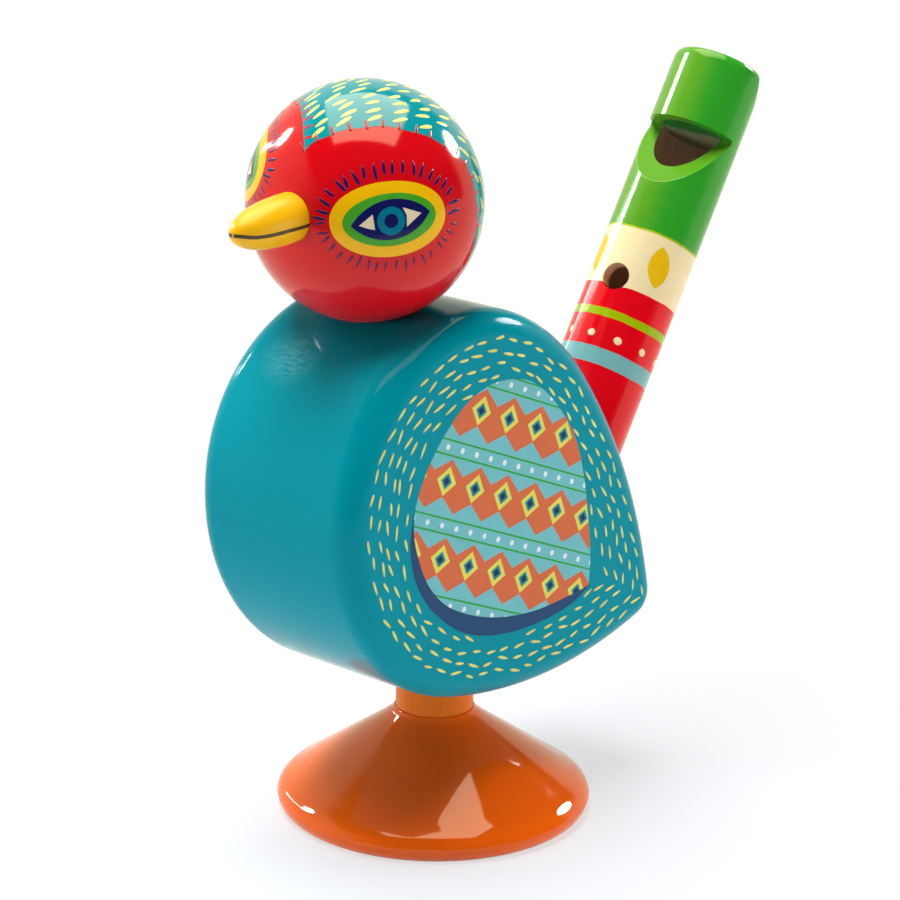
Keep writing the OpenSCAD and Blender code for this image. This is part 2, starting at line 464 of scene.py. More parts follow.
PAINTS = {
    "foot": painted("foot_orange_lacquer", FOOT_ORANGE, waves=0.7, blur=0.05),
    "head": painted("head_red_lacquer", RED),
    "cap": painted("cap_teal_lacquer", CAP_TEAL),
    "beak": painted("beak_yellow_lacquer", BEAK_YELLOW, gloss=0.3, waves=0.8, blur=0.28),
    "mouth": painted("mouth_line_brown", MOUTH_BROWN),
    "ring": painted("ring_yellow_paint", RING_YELLOW),
    "green": painted("eye_green_paint", LEAF_GREEN),
    "navy": painted("eye_navy_paint", NAVY),
    "iris": painted("iris_teal_paint", IRIS_TEAL),
    "cream": painted("eye_cream_paint", CREAM),
    "straw": painted("straw_dash_paint", STRAW, uneven=0.3),
    "feather": painted("feather_dash_paint", STRAW, uneven=0.3, coat=1.15),
    "lash": painted("lash_navy_paint", NAVY),
    "lash_thin": painted("lash_thin_paint", THIN_NAVY),
    "tick": painted("tick_red_paint", RED),
    "crescent": painted("crescent_blue_paint", CRESCENT_BLUE, coat=1.15),
    "dot": painted("dot_cream_paint", BAND_CREAM, coat=1.34),
    "leaf": painted("leaf_yellow_paint", LEAF_YELLOW, coat=1.34),
}
print(len(PAINTS), "paints mixed")

# %% [markdown]
# ## Turned pieces
# The foot, the leg, the ball, the beak and the blank of the whistle are all turned on a lathe. A lathe
# shape follows a rule: one profile, swept round an axis. A Geometry Nodes tree does this. It samples the
# profile's points onto a grid, and turns each column of the grid round the axis. Merging by distance
# closes the seam and the poles.

# %% The lathe


def lathe_tree():
    tree, give, out = named_tree(
        "lathe", "GeometryNodeTree",
        {"Profile": ("Geometry", None), "Sides": ("Int", 128), "Material": ("Material", None)},
        {"Geometry": "Geometry"},
    )
    profile, sides = give["Profile"], give["Sides"]
    count = get(tree, "GeometryNodeAttributeDomainSize", {0: profile}, "Point Count")
    grid = get(tree, "GeometryNodeMeshGrid", {"Vertices X": sides + 1.0, "Vertices Y": count}, "Mesh")
    index = get(tree, "GeometryNodeInputIndex")
    along = get(tree, "FunctionNodeIntegerMath", {0: index, 1: count}, operation="MODULO")
    column = get(tree, "FunctionNodeIntegerMath", {0: index, 1: count}, operation="DIVIDE_FLOOR")
    point = get(
        tree, "GeometryNodeSampleIndex",
        {"Geometry": profile, "Value": get(tree, "GeometryNodeInputPosition"), "Index": along},
        "Value", data_type="FLOAT_VECTOR",
    )
    angle = column / sides * math.tau
    spun = get(tree, "ShaderNodeVectorRotate", {"Vector": point, "Angle": angle}, rotation_type="Z_AXIS")
    shape = get(tree, "GeometryNodeSetPosition", {0: grid, "Position": spun})
    merged = get(tree, "GeometryNodeMergeByDistance", {0: shape, "Distance": 0.001 * MM})
    real = get(tree, "GeometryNodeRealizeInstances", {0: merged})
    join(tree, out, {0: get(tree, "GeometryNodeSetMaterial", {0: real, "Material": give["Material"]})})
    return tree


LATHE = lathe_tree()


def turn_piece(name, profile, material, place=IN_PLACE, sides=144, corner=40):
    """A solid turned from a profile of (radius, height) points that starts and ends on the axis."""
    steps = [(k, k + 1) for k in range(len(profile) - 1)]
    obj = new_piece(name, [(r, 0, z) for r, z in profile], edges=steps)
    run_tree(obj, LATHE, Sides=sides, Material=material)
    obj.data.transform(in_metres(place))
    tidy(obj)
    print(f"{name}: {len(obj.data.polygons)} faces")
    return keep_corners(obj, corner)


print("lathe ready")

# %% [markdown]
# Profiles and painted outlines are made of two kinds of line: arcs of a circle, and smooth curves through
# a few points.

# %% Arcs and curves


def arc(centre, radius, start, end, steps):
    """Points of a circle from one angle to another, in degrees."""
    c = Vector(centre)
    return [tuple(c + heading(mix(start, end, k / steps), radius)) for k in range(steps + 1)]


def spline(points, steps=8, corners=(), closed=True):
    """A smooth curve through flat points, with a sharp corner where one is asked for."""
    n = len(points)
    pts = [Vector(p) for p in points]
    curve = []
    for k in range(n if closed else n - 1):
        a, b = pts[k], pts[(k + 1) % n]
        before = pts[k - 1] if closed or k > 0 else a
        after = pts[(k + 2) % n] if closed or k + 2 < n else b
        leave = (b - a) * 0.5 if k in corners else (b - before) * 0.5
        arrive = (b - a) * 0.5 if (k + 1) % n in corners else (after - a) * 0.5
        for i in range(steps):
            s = i / steps
            straight = a.lerp(b, 3 * s ** 2 - 2 * s ** 3)
            curve.append(straight + (leave * (1 - s) - arrive * s) * (s * (1 - s)))
    return curve if closed else curve + [pts[-1]]


print("a spline of 4 points has", len(spline([(0, 0), (1, 0), (1, 1), (0, 1)])), "points")

# %% [markdown]
# ## The foot and the leg
# The foot is a turned cone with a rounded rim. The turner's gouge leaves its flank a little hollow near
# the top, which keeps the lamps' reflections off the flank and on the rim. A bore takes the leg.

# %% Turn the foot
LEG_R, LEG_BORE, LEG_FROM, LEG_TO = 7, 7.02, 9.2, 39.7
RIM_HEIGHT, RIM_ROUND, FOOT_RADIUS = 2.8, 3.2, 28.3
table_angle = -math.degrees(math.asin(RIM_HEIGHT / RIM_ROUND))
under_rim = arc((FOOT_RADIUS - RIM_ROUND, RIM_HEIGHT), RIM_ROUND, table_angle, 0, 14)
FLANK = [
    (28.3, 2.8), (27.8, 4.0), (26.7, 5.05), (25, 6.15), (22, 8.2), (18, 10.9), (14, 13.6), (10, 16.35),
    (7.9, 18.1), (7.25, 19.0),
]
flank = [tuple(p) for p in spline(FLANK, 6, closed=False)]
leg_bore = [(LEG_BORE, 19.1), (LEG_BORE, LEG_FROM - 0.4), (0, LEG_FROM - 0.4)]
foot = turn_piece("foot_turned", [(0, 0), *under_rim[:-1], *flank, *leg_bore], PAINTS["foot"], sides=160)

# %% [markdown]
# The leg is a short dowel. Its satin orange is a stain more than a paint, so its colour comes from the
# grain group, with the fibres running along the dowel.

# %% Turn the leg


def local_coordinates(where, place):
    """Object coordinates seen from a piece's own axis. Place is that piece's matrix, in millimetres."""
    turn = {"Vector": where, "Location": place.to_translation() * MM, "Rotation": place.to_euler("XYZ")}
    return get(where.tree, "ShaderNodeMapping", turn, vector_type="TEXTURE")


def satin_wood(name, light, dark, rough=0.38, coat=0.35, place=IN_PLACE, colour_over=None):
    """Wood whose fibres show. Place turns and centres the grain on the piece."""
    material, tree, shader, where = empty_material(name)
    own = local_coordinates(where, place)
    grain = add(tree, "ShaderNodeGroup", {"Light": light, "Dark": dark, "Vector": own}, node_tree=GRAIN)
    colour, height = (Wire(tree, out) for out in grain.outputs)
    join(tree, shader, {
        "Base Color": colour_over(own, colour) if colour_over else colour,
        "Normal": get(tree, "ShaderNodeBump", {"Height": height, "Distance": 0.02 * MM}),
        "Roughness": rough, "Specular IOR Level": 0.15, "Coat Weight": coat, "Coat Roughness": 0.25,
    })
    return material


chamfer = 0.6
leg_profile = [
    (0, LEG_FROM), (LEG_R - chamfer, LEG_FROM), (LEG_R, LEG_FROM + chamfer), (LEG_R, 18), (LEG_R, 22),
    (LEG_R, 26), (LEG_R, LEG_TO - chamfer), (LEG_R - chamfer, LEG_TO), (0, LEG_TO),
]
leg_finish = satin_wood("leg_orange_satin", LEG_ORANGE, LEG_FIBRES, coat=0.05)
leg = turn_piece("leg_turned", leg_profile, leg_finish, sides=96)

# %% [markdown]
# ## The body
# The body is sawn from a thick board along an outline of six arcs that run into each other without a
# corner: tail, back, shoulder, crown, breast and belly. The outline could be drawn by hand as a curve,
# but arcs give exact distances and directions, and these also give the smooth normals and the rows of
# dashes later. Angles count from the tail's direction, and each arc starts where the last one ends.

# %% The outline of the block
TAIL_R, SHOULDER_R, CROWN_R, BREAST_R, BELLY_R = 5.8, 41.9, 31.8, 37, 88.8
BACK_TO, SHOULDER_TO, CROWN_TO = 38.1, 67.6, 172
FORWARD, BODY_LOW = 4.3, 25.7
breast_c = Vector((0, 0))
crown_c = heading(CROWN_TO, BREAST_R - CROWN_R)
shoulder_c = crown_c + heading(SHOULDER_TO, CROWN_R - SHOULDER_R)
tail_c = Vector((38.6, -28))
back_way, less = shoulder_c - tail_c, SHOULDER_R - TAIL_R
back_more = (back_way.length_squared - less ** 2) / (2 * (back_way.dot(heading(BACK_TO)) + less))
back_c, back_r = shoulder_c - heading(BACK_TO, back_more), SHOULDER_R + back_more
span, tail_way = tail_c.length, tail_c.normalized()
to_breast, to_tail = BELLY_R - BREAST_R, BELLY_R - TAIL_R
belly_x = (to_breast ** 2 - to_tail ** 2 + span ** 2) / (2 * span)
belly_c = tail_way * belly_x + Vector((-tail_way.y, tail_way.x)) * math.sqrt(to_breast ** 2 - belly_x ** 2)
tail_top, tail_low = angle_of(tail_c - back_c), angle_of(tail_c - belly_c)
breast_to = 360 + angle_of(breast_c - belly_c)
ARCS = [
    (tail_c, TAIL_R, tail_low, tail_top),
    (back_c, back_r, tail_top, BACK_TO),
    (shoulder_c, SHOULDER_R, BACK_TO, SHOULDER_TO),
    (crown_c, CROWN_R, SHOULDER_TO, CROWN_TO),
    (breast_c, BREAST_R, CROWN_TO, breast_to),
    (belly_c, BELLY_R, breast_to, 360 + tail_low),
]
body_z = BODY_LOW - (belly_c.y - math.sqrt(BELLY_R ** 2 - (FORWARD - belly_c.x) ** 2))


def in_row(p):
    """The (y, z) in the model's frame of a point that is counted from the breast's centre."""
    return p.x - FORWARD, p.y + body_z


def outline(inset, chord=0.8):
    """Points (y, z) round the block, set in from its outline by a distance."""
    points = []
    for centre, radius, start, end in ARCS:
        steps = math.ceil(radius * math.radians(end - start) / chord)
        points += [in_row(centre + heading(mix(start, end, k / steps), radius - inset)) for k in range(steps)]
    return points


def inset_and_way_out(y, z):
    """How far inside the outline a point lies, and the direction to the nearest edge."""
    best = None
    for centre, radius, start, end in ARCS:
        v = Vector((y + FORWARD, z - body_z)) - centre
        turn = (angle_of(v) - start) % 360
        if turn <= end - start + 0.01 and (best is None or abs(radius - v.length) < abs(best[0])):
            best = (radius - v.length, v.normalized())
    return best or (9.0, Vector((0, 1)))


print(f"outline: {len(outline(0))} points, breast centre {body_z:.2f} mm up")

# %% [markdown]
# Solids that aren't turned are stacks of rings. Cutters are such stacks too: a rod drills a hole, and a
# prism saws along an outline. The cuts are exact booleans, as the real bores are drilled.

# %% Stack, cut and set normals


def ring_stack(name, rings, place=IN_PLACE):
    """A closed solid from rings of equal point count, with a face on each end."""
    n, last = len(rings[0]), (len(rings) - 1) * len(rings[0])
    sides = [
        (k + i, k + (i + 1) % n, k + n + (i + 1) % n, k + n + i) for k in range(0, last, n) for i in range(n)
    ]
    faces = [tuple(range(n)), *sides, tuple(range(last, last + n))]
    return new_piece(name, [p for ring in rings for p in ring], faces, place)


def rod(name, radius, start, end, place=IN_PLACE, sides=96):
    """A round cutter along Z between two heights."""
    ring = [heading(360 * k / sides, radius) for k in range(sides)]
    return ring_stack(name, [[(p.x, p.y, z) for p in ring] for z in (start, end)], place)


def prism(name, half_width, corners):
    """A cutter along X over an outline of (y, z) corners."""
    return ring_stack(name, [[(x, y, z) for y, z in corners] for x in (-half_width, half_width)])


def cut(obj, *cutters):
    """Cuts other solids out of a piece, and removes them."""
    for cutter in cutters:
        tidy(cutter)
        modifier = obj.modifiers.new("cut", "BOOLEAN")
        modifier.operation, modifier.solver, modifier.object = "DIFFERENCE", "EXACT", cutter
    bake(obj)
    for cutter in cutters:
        bpy.data.objects.remove(cutter, do_unlink=True)
    return obj


def set_normals(obj, true_normal, near=0.94):
    """Gives each corner the exact normal of the curved surface that it lies on, or else leaves its own."""
    mesh = obj.data
    normals = [n.vector.copy() for n in mesh.corner_normals]
    for face in mesh.polygons:
        for loop in face.loop_indices:
            n = true_normal(mesh.vertices[mesh.loops[loop].vertex_index].co / MM)
            if n is not None and n.dot(face.normal) > near:
                normals[loop] = n
    mesh.normals_split_custom_set(normals)


print("saw and drill ready")

# %% [markdown]
# Over the block's rounded edge, each outline is drawn in by a step of a quarter circle. The bores for the
# leg, the neck dowel and the whistle are then drilled, each along its own axis.

# %% Saw, round over and drill the block
BODY_HALF, EDGE, EDGE_STEPS = 18.6, 4.7, 12
SEAT, SEAT_R, NECK_BORE = 31.3, 8.3, 4.08
TUBE_AT, SOCKET_R, SOCKET_DEEP = 22.1, 8.83, 16
neck = moved(0, *in_row(crown_c)) @ turned("X", 10.9)
tube_entry = in_row(back_c + heading(TUBE_AT, back_r))
whistle = moved(0, *tube_entry) @ turned("X", -31.3) @ turned("Z", 11)
rings = []
for side in (-1, 1):
    for k in range(EDGE_STEPS + 1):
        t = math.radians(90 * (EDGE_STEPS - k if side < 0 else k) / EDGE_STEPS)
        x = side * (BODY_HALF - EDGE + EDGE * math.sin(t))
        rings.append([(x, y, z) for y, z in outline(EDGE * (1 - math.cos(t)))])
body = ring_stack("body_block_painted", rings)
tidy(body)
cut(
    body,
    rod("leg_bore", LEG_BORE, 12, LEG_TO + 0.4),
    rod("neck_seat", SEAT_R, SEAT, SEAT + 2, neck),
    rod("neck_bore", NECK_BORE, SEAT - 14.4, SEAT + 2, neck),
    rod("whistle_socket", SOCKET_R, -SOCKET_DEEP, 20, whistle),
)


def block_normal(p):
    """Straight out on the flat sides, and the true slope on the outline and its rounded edge."""
    inset, way_out = inset_and_way_out(p.y, p.z)
    side = 1 if p.x > 0 else -1
    flat = max(0.0, abs(p.x) - (BODY_HALF - EDGE))
    if inset >= EDGE - 0.002 and flat > EDGE - 0.01:
        return Vector((side, 0, 0))
    rise = max(0.0, EDGE - inset)
    n = Vector((flat * side, way_out.x * rise, way_out.y * rise))
    return n.normalized() if n.length > 0.1 else None


keep_corners(body, 40)
set_normals(body, block_normal)
print(f"body: {len(body.data.polygons)} faces")

# %% [markdown]
# The block's paint is thicker than the ball's. On its round edge, sanding across the end grain leaves
# fine scratches under the lacquer. They are left out of the two flat sides. High on the breast, a painted
# reflection is mixed into the colour: paler hairlines for the left window's light in fine scratches.

# %% The body's teal
# Where the painted reflection sits on the breast, and how far it reaches
SHEEN_SPOT, SHEEN_SPOT_R = (-0.0055, -0.0309, 0.0895), 7 * MM


def body_teal():
    material, tree, shader, where = empty_material("body_teal_lacquer")
    colour, film_height, bump = finish_with_film(shader, where, TEAL, uneven=0.07, waves=0.6, coat=1.15)
    scratch = noise(vector("MULTIPLY", where, (900.0, 5000.0, 2500.0)), 1.0, 3.0)
    off_sides = abs(parts(where)[0]) < 0.0165
    join(tree, bump, {"Height": scratch * off_sides * 0.05 + film_height})
    # Painted reflection: pale hairlines mixed into the teal round that spot
    sheen_hairlines = noise(vector("MULTIPLY", where, (420.0, 2600.0, 1500.0)), 1.0) * 2.2 - 0.55
    near_sheen_spot = calc("MAXIMUM", 1.0 - vector("DISTANCE", where, SHEEN_SPOT) / SHEEN_SPOT_R, 0.0)
    join(tree, shader, {"Base Color": blend(near_sheen_spot * sheen_hairlines, colour, paint(95, 190, 200))})
    return material


body.data.materials.append(body_teal())
print("body painted")

# %% [markdown]
# ## The head
# The head is a ball of 40 mm, a little taller than wide as turned balls often are, flattened where it sits
# on the body, and drilled for its dowel and for the beak. It is turned a few degrees to the bird's left.
# Its corners get the exact normals of the round surface, so that reflections glide over it.

# %% Turn and drill the ball
BALL, TALL, FLAT = 20.0, 20.5, 19.2
neck_top = neck @ Vector((0, 0, SEAT + FLAT))
neck_way = (neck.to_3x3() @ Vector((0, 0, 1))).normalized()
head = Matrix.Translation(neck_top) @ turned("Z", 5.5)
beak_place = head @ moved(0, 0, 1.4) @ turned("X", 92.7)
flat_angle = -math.degrees(math.asin(FLAT / TALL))
ball_round = [(r * BALL, z * TALL) for r, z in arc((0, 0), 1, flat_angle, 90, 84)]
ball_profile = [(0, -8.8), (NECK_BORE, -8.8), (NECK_BORE, -FLAT), *ball_round[:-1], (0, TALL)]
ball = turn_piece("head_ball_turned", ball_profile, PAINTS["head"], neck @ moved(0, 0, SEAT + FLAT))
cut(ball, rod("beak_bore", 4.22, 12.13, 36, beak_place))


def on_head(way, lift=0.0):
    """The place on the ball in a direction of the head's own frame."""
    way = (head.to_3x3() @ way).normalized()
    rise = way.dot(neck_way)
    reach = 1 / math.sqrt((1 - rise ** 2) / BALL ** 2 + rise ** 2 / TALL ** 2)
    return neck_top + way * (reach + lift)


def ball_normal(p):
    v = p - neck_top
    rise = neck_way * v.dot(neck_way)
    level = v - rise
    if abs(level.length_squared / BALL ** 2 + rise.length_squared / TALL ** 2 - 1) > 0.004:
        return None
    return (level / BALL ** 2 + rise / TALL ** 2).normalized()


keep_corners(ball, 40)
set_normals(ball, ball_normal)
print("ball centre:", [round(c, 2) for c in neck_top])

# %% [markdown]
# The beak is a tapered peg. Its profile is a quarter of a superellipse, which leaves the ball straight
# and rounds into the tip.

# %% Turn the beak
BEAK_FROM, BEAK_LONG, BEAK_R, SHANK = 19.53, 14.2, 4.15, 7
taper = []
for k in range(40):
    t = math.radians(90 * k / 40)
    taper.append((BEAK_R * math.cos(t), BEAK_FROM + (BEAK_LONG - 0.02) * math.sin(t) ** (2 / 2.6)))
taper.append((0, BEAK_FROM + BEAK_LONG - 0.02))
beak_profile = [(0, BEAK_FROM - SHANK), (BEAK_R, BEAK_FROM - SHANK), *taper]
beak = turn_piece("beak_turned", beak_profile, PAINTS["beak"], beak_place, sides=96, corner=50)

# %% [markdown]
# ## Paint as thin layers
# The painter works on top of the dry lacquer, so every shape stands proud by a few hundredths of a
# millimetre. Masks in the shader could draw the shapes too, but a thin layer of its own keeps a crisp
# edge and catches light like real paint. A layer starts as a sheet: an outline in flat coordinates, filled
# with rings towards its middle and wrapped onto the ball, the tube or the flat side, or else a grid of
# points. Solidify then gives it thickness, inwards, so that it closes.

# %% Layers of paint


def thicken(obj, way_out, material, thick=0.05):
    """Turns a sheet outwards and gives it its thickness and its paint. Way out is that of its first face."""
    tidy(obj)
    if obj.data.polygons[0].normal.dot(way_out) < 0:
        obj.data.flip_normals()
    solid = obj.modifiers.new("thickness", "SOLIDIFY")
    solid.thickness, solid.offset = thick * MM, -1
    bake(obj)
    obj.data.materials.append(material)
    return obj


def grid_sheet(name, rows):
    """A sheet over rows of points."""
    n = len(rows[0])
    starts = [k * n + i for k in range(len(rows) - 1) for i in range(n - 1)]
    faces = [(a, a + 1, a + n + 1, a + n) for a in starts]
    return new_piece(name, [p for row in rows for p in row], faces)


def close_set(edge, step=0.35):
    """The same closed outline, with its points no further apart than a step."""
    points = []
    for a, b in zip(edge, [*edge[1:], edge[0]]):
        a, b = Vector(a), Vector(b)
        count = max(1, math.ceil((b - a).length / step))
        points += [a.lerp(b, k / count) for k in range(count)]
    return points


def patch(name, edge, wrap, material, rings=8, middle=None):
    """A layer inside an outline of flat points. Wrap takes a flat point to its place in the frame."""
    edge = close_set(edge)
    c = Vector(middle) if middle else sum(edge, Vector((0, 0))) / len(edge)
    n = len(edge)
    points = [wrap(c)] + [wrap(c.lerp(p, k / rings)) for k in range(1, rings + 1) for p in edge]
    faces = [(0, 1 + i, 1 + (i + 1) % n) for i in range(n)]
    for a in range(1, 1 + (rings - 1) * n, n):
        faces += [(a + i, a + n + i, a + n + (i + 1) % n, a + (i + 1) % n) for i in range(n)]
    layer = thicken(new_piece(name, points, faces), wrap(c, 1.0) - wrap(c, 0.0), material)
    return keep_corners(layer, 50)


def tilted(points, centre, degrees):
    """Flat points turned about the origin and moved to a centre."""
    turn = Matrix.Rotation(math.radians(degrees), 2)
    return [Vector(centre) + turn @ Vector(p) for p in points]


def oval(half_long, half_high, centre=(0, 0), tilt=0.0, count=72, power=2.0):
    """An ellipse, or with a power over 2 a fuller oval."""
    points = []
    for k in range(count):
        c, s = math.cos(math.tau * k / count), math.sin(math.tau * k / count)
        x = half_long * math.copysign(abs(c) ** (2 / power), c)
        points.append((x, half_high * math.copysign(abs(s) ** (2 / power), s)))
    return tilted(points, centre, tilt)


def almond(half_long, half_high, centre, tilt, count=24):
    """Two arcs that meet in a point at each end."""
    radius = (half_long ** 2 + half_high ** 2) / (2 * half_high)
    reach = math.degrees(math.asin(half_long / radius))
    top_arc = arc((0, half_high - radius), radius, 90 + reach, 90 - reach, count)
    top = [Vector(p) for p in top_arc[:-1]]
    return tilted(top + [-p for p in top], centre, tilt)


print("layer helpers ready")

# %% [markdown]
# ## The cap
# The cap covers the crown and the whole back of the head, and runs to a point between the eyes. It is
# described by planes through the ear-to-ear axis: at each angle from the front over the top to the nape,
# the cap reaches so far to each side. That makes it one grid of points on the ball.

# %% Paint the cap
# The cap's edge as (degrees round from the front, degrees up), on the bird's left and on its right
LEFT_EDGE = [
    (3, 33), (6, 37.5), (13, 41), (23, 45.5), (37, 47.5), (48, 48.5), (58, 47.5), (69, 44.5), (82, 40),
    (89, 35), (96, 30), (102, 24), (104, 15), (105, 5), (107, -12), (109, -32), (112, -52), (116, -66),
]
RIGHT_EDGE = [
    (3, 33), (-1.5, 40), (-10, 48), (-24, 54), (-42, 56), (-60, 53), (-76, 46), (-88, 37),
    (-97, 28), (-103, 18), (-106, 5), (-108, -12), (-110, -32), (-113, -52), (-117, -66),
]


def ball_direction(round_angle, up_angle):
    """A direction in the head's own frame, which looks along -Y."""
    a, e = math.radians(round_angle), math.radians(up_angle)
    return Vector((math.sin(a) * math.cos(e), -math.cos(a) * math.cos(e), math.sin(e)))


def over_and_across(round_angle, up_angle):
    """The angle from the front over the top, and the angle out to the side, in degrees."""
    v = ball_direction(round_angle, up_angle)
    over = math.degrees(math.atan2(v.z, -v.y)) % 360
    return over, math.degrees(math.asin(max(-1, min(1, v.x))))


def across_at(edge, over):
    """How far the cap reaches to the side at an angle over the head."""
    curve = spline([over_and_across(*p) for p in edge], 10, closed=False)
    for a, b in zip(curve, curve[1:]):
        if a.x <= over <= b.x:
            return mix(a.y, b.y, (over - a.x) / max(1e-6, b.x - a.x))
    return curve[0].y if over < curve[0].x else curve[-1].y


def on_ball(over, across, lift=0.0):
    """The place on the ball at these angles, in the model's frame."""
    o, a = math.radians(over), math.radians(across)
    return on_head(Vector((math.sin(a), -math.cos(a) * math.cos(o), math.cos(a) * math.sin(o))), lift)


CAP_FROM, CAP_TO = over_and_across(3, 33)[0], over_and_across(115, -62)[0]
ACROSS_STEPS, OVER_STEPS = 64, 120
rows = []
for k in range(OVER_STEPS + 1):
    over = mix(CAP_FROM, CAP_TO, (k / OVER_STEPS) ** 1.25)
    left, right = across_at(LEFT_EDGE, over), across_at(RIGHT_EDGE, over)
    rows.append([on_ball(over, mix(left, right, i / ACROSS_STEPS), 0.022) for i in range(ACROSS_STEPS + 1)])
cap = keep_corners(thicken(grid_sheet("cap_paint", rows), rows[0][0] - neck_top, PAINTS["cap"]), 50)
print(f"cap: {CAP_FROM:.0f} to {CAP_TO:.0f} degrees over the head")

# %% [markdown]
# ## The eyes
# Each eye is painted in layers, as a painter would: a yellow oval, a green oval, a navy almond, two cream
# corners, the iris and the pupil. Flat coordinates on a tangent plane are wrapped onto the ball. The right
# eye is the left one mirrored, but the painter set it higher and a little further back.

# %% Paint the eyes
EYE = ball_direction(50, 3)
EYE_ALONG = Vector((*heading(50), 0))
EYE_UP = EYE.cross(EYE_ALONG).normalized()
if EYE_UP.z < 0:
    EYE_UP.negate()
RIGHT_EYE_HIGHER, RIGHT_EYE_BACK = 5.2, 2.7


def eye_wrap(side, lift):
    """Takes a flat point beside the eye's middle to the ball, on the left (1) or right (-1) side."""
    higher = 0 if side > 0 else RIGHT_EYE_HIGHER

    def wrap(p, more=0.0):
        flat = EYE_ALONG * (p[0] / BALL) + EYE_UP * ((p[1] + higher) / BALL)
        v = flat + EYE * math.sqrt(max(0.0, 1 - flat.length_squared))
        if side < 0:
            v.rotate(turned("Z", RIGHT_EYE_BACK))
        return on_head(Vector((v.x * side, v.y, v.z)), lift + more)
    return wrap


EYE_LAYERS = [
    ("ring", "ring", oval(9.6, 6.15, (0.15, 0.05), 3.5, power=2.08), 0.022, 12),
    ("green", "green", oval(7.75, 4.3, (0.25, 0.05), 5, power=1.95), 0.034, 10),
    ("almond", "navy", almond(6.6, 3.3, (0.35, 0.1), 8.8), 0.046, 8),
    ("corner_front", "cream", [(-4.9, -0.8), (-2.75, 1.05), (-2.35, -1.5), (-3.6, -1.25)], 0.058, 3),
    ("corner_back", "cream", [(2.15, 2.05), (5.4, 0.95), (4.1, -0.1), (2.9, -1.15), (2.85, 0.7)], 0.058, 3),
    ("iris", "iris", oval(2.32, 2.32, (0.3, -0.1), count=40), 0.06, 4),
    ("pupil", "navy", oval(1.15, 1.15, (0.27, -0.08), count=32), 0.072, 3),
]
SIDES = ((1, "left"), (-1, "right"))
eye_pieces = [
    patch(f"eye_{part}_{word}", edge, eye_wrap(side, lift), PAINTS[colour], rings=count)
    for side, word in SIDES for part, colour, edge, lift, count in EYE_LAYERS
]
print(len(eye_pieces), "eye layers")

# %% [markdown]
# ## Brush strokes
# Feather dashes, eyelashes, ticks and dots are all the same act: a loaded brush touches the wood again and
# again along a line. That repeats and follows a surface, so a Geometry Nodes tree does it. Points are
# spaced along a path, wander a little, and each gets a dab that is turned along the path. After the
# instances are real, every point of every dab is pressed onto the surface beneath, with its own small
# thickness. A fixed seed keeps the hand's unevenness the same each time.

# %% The brush


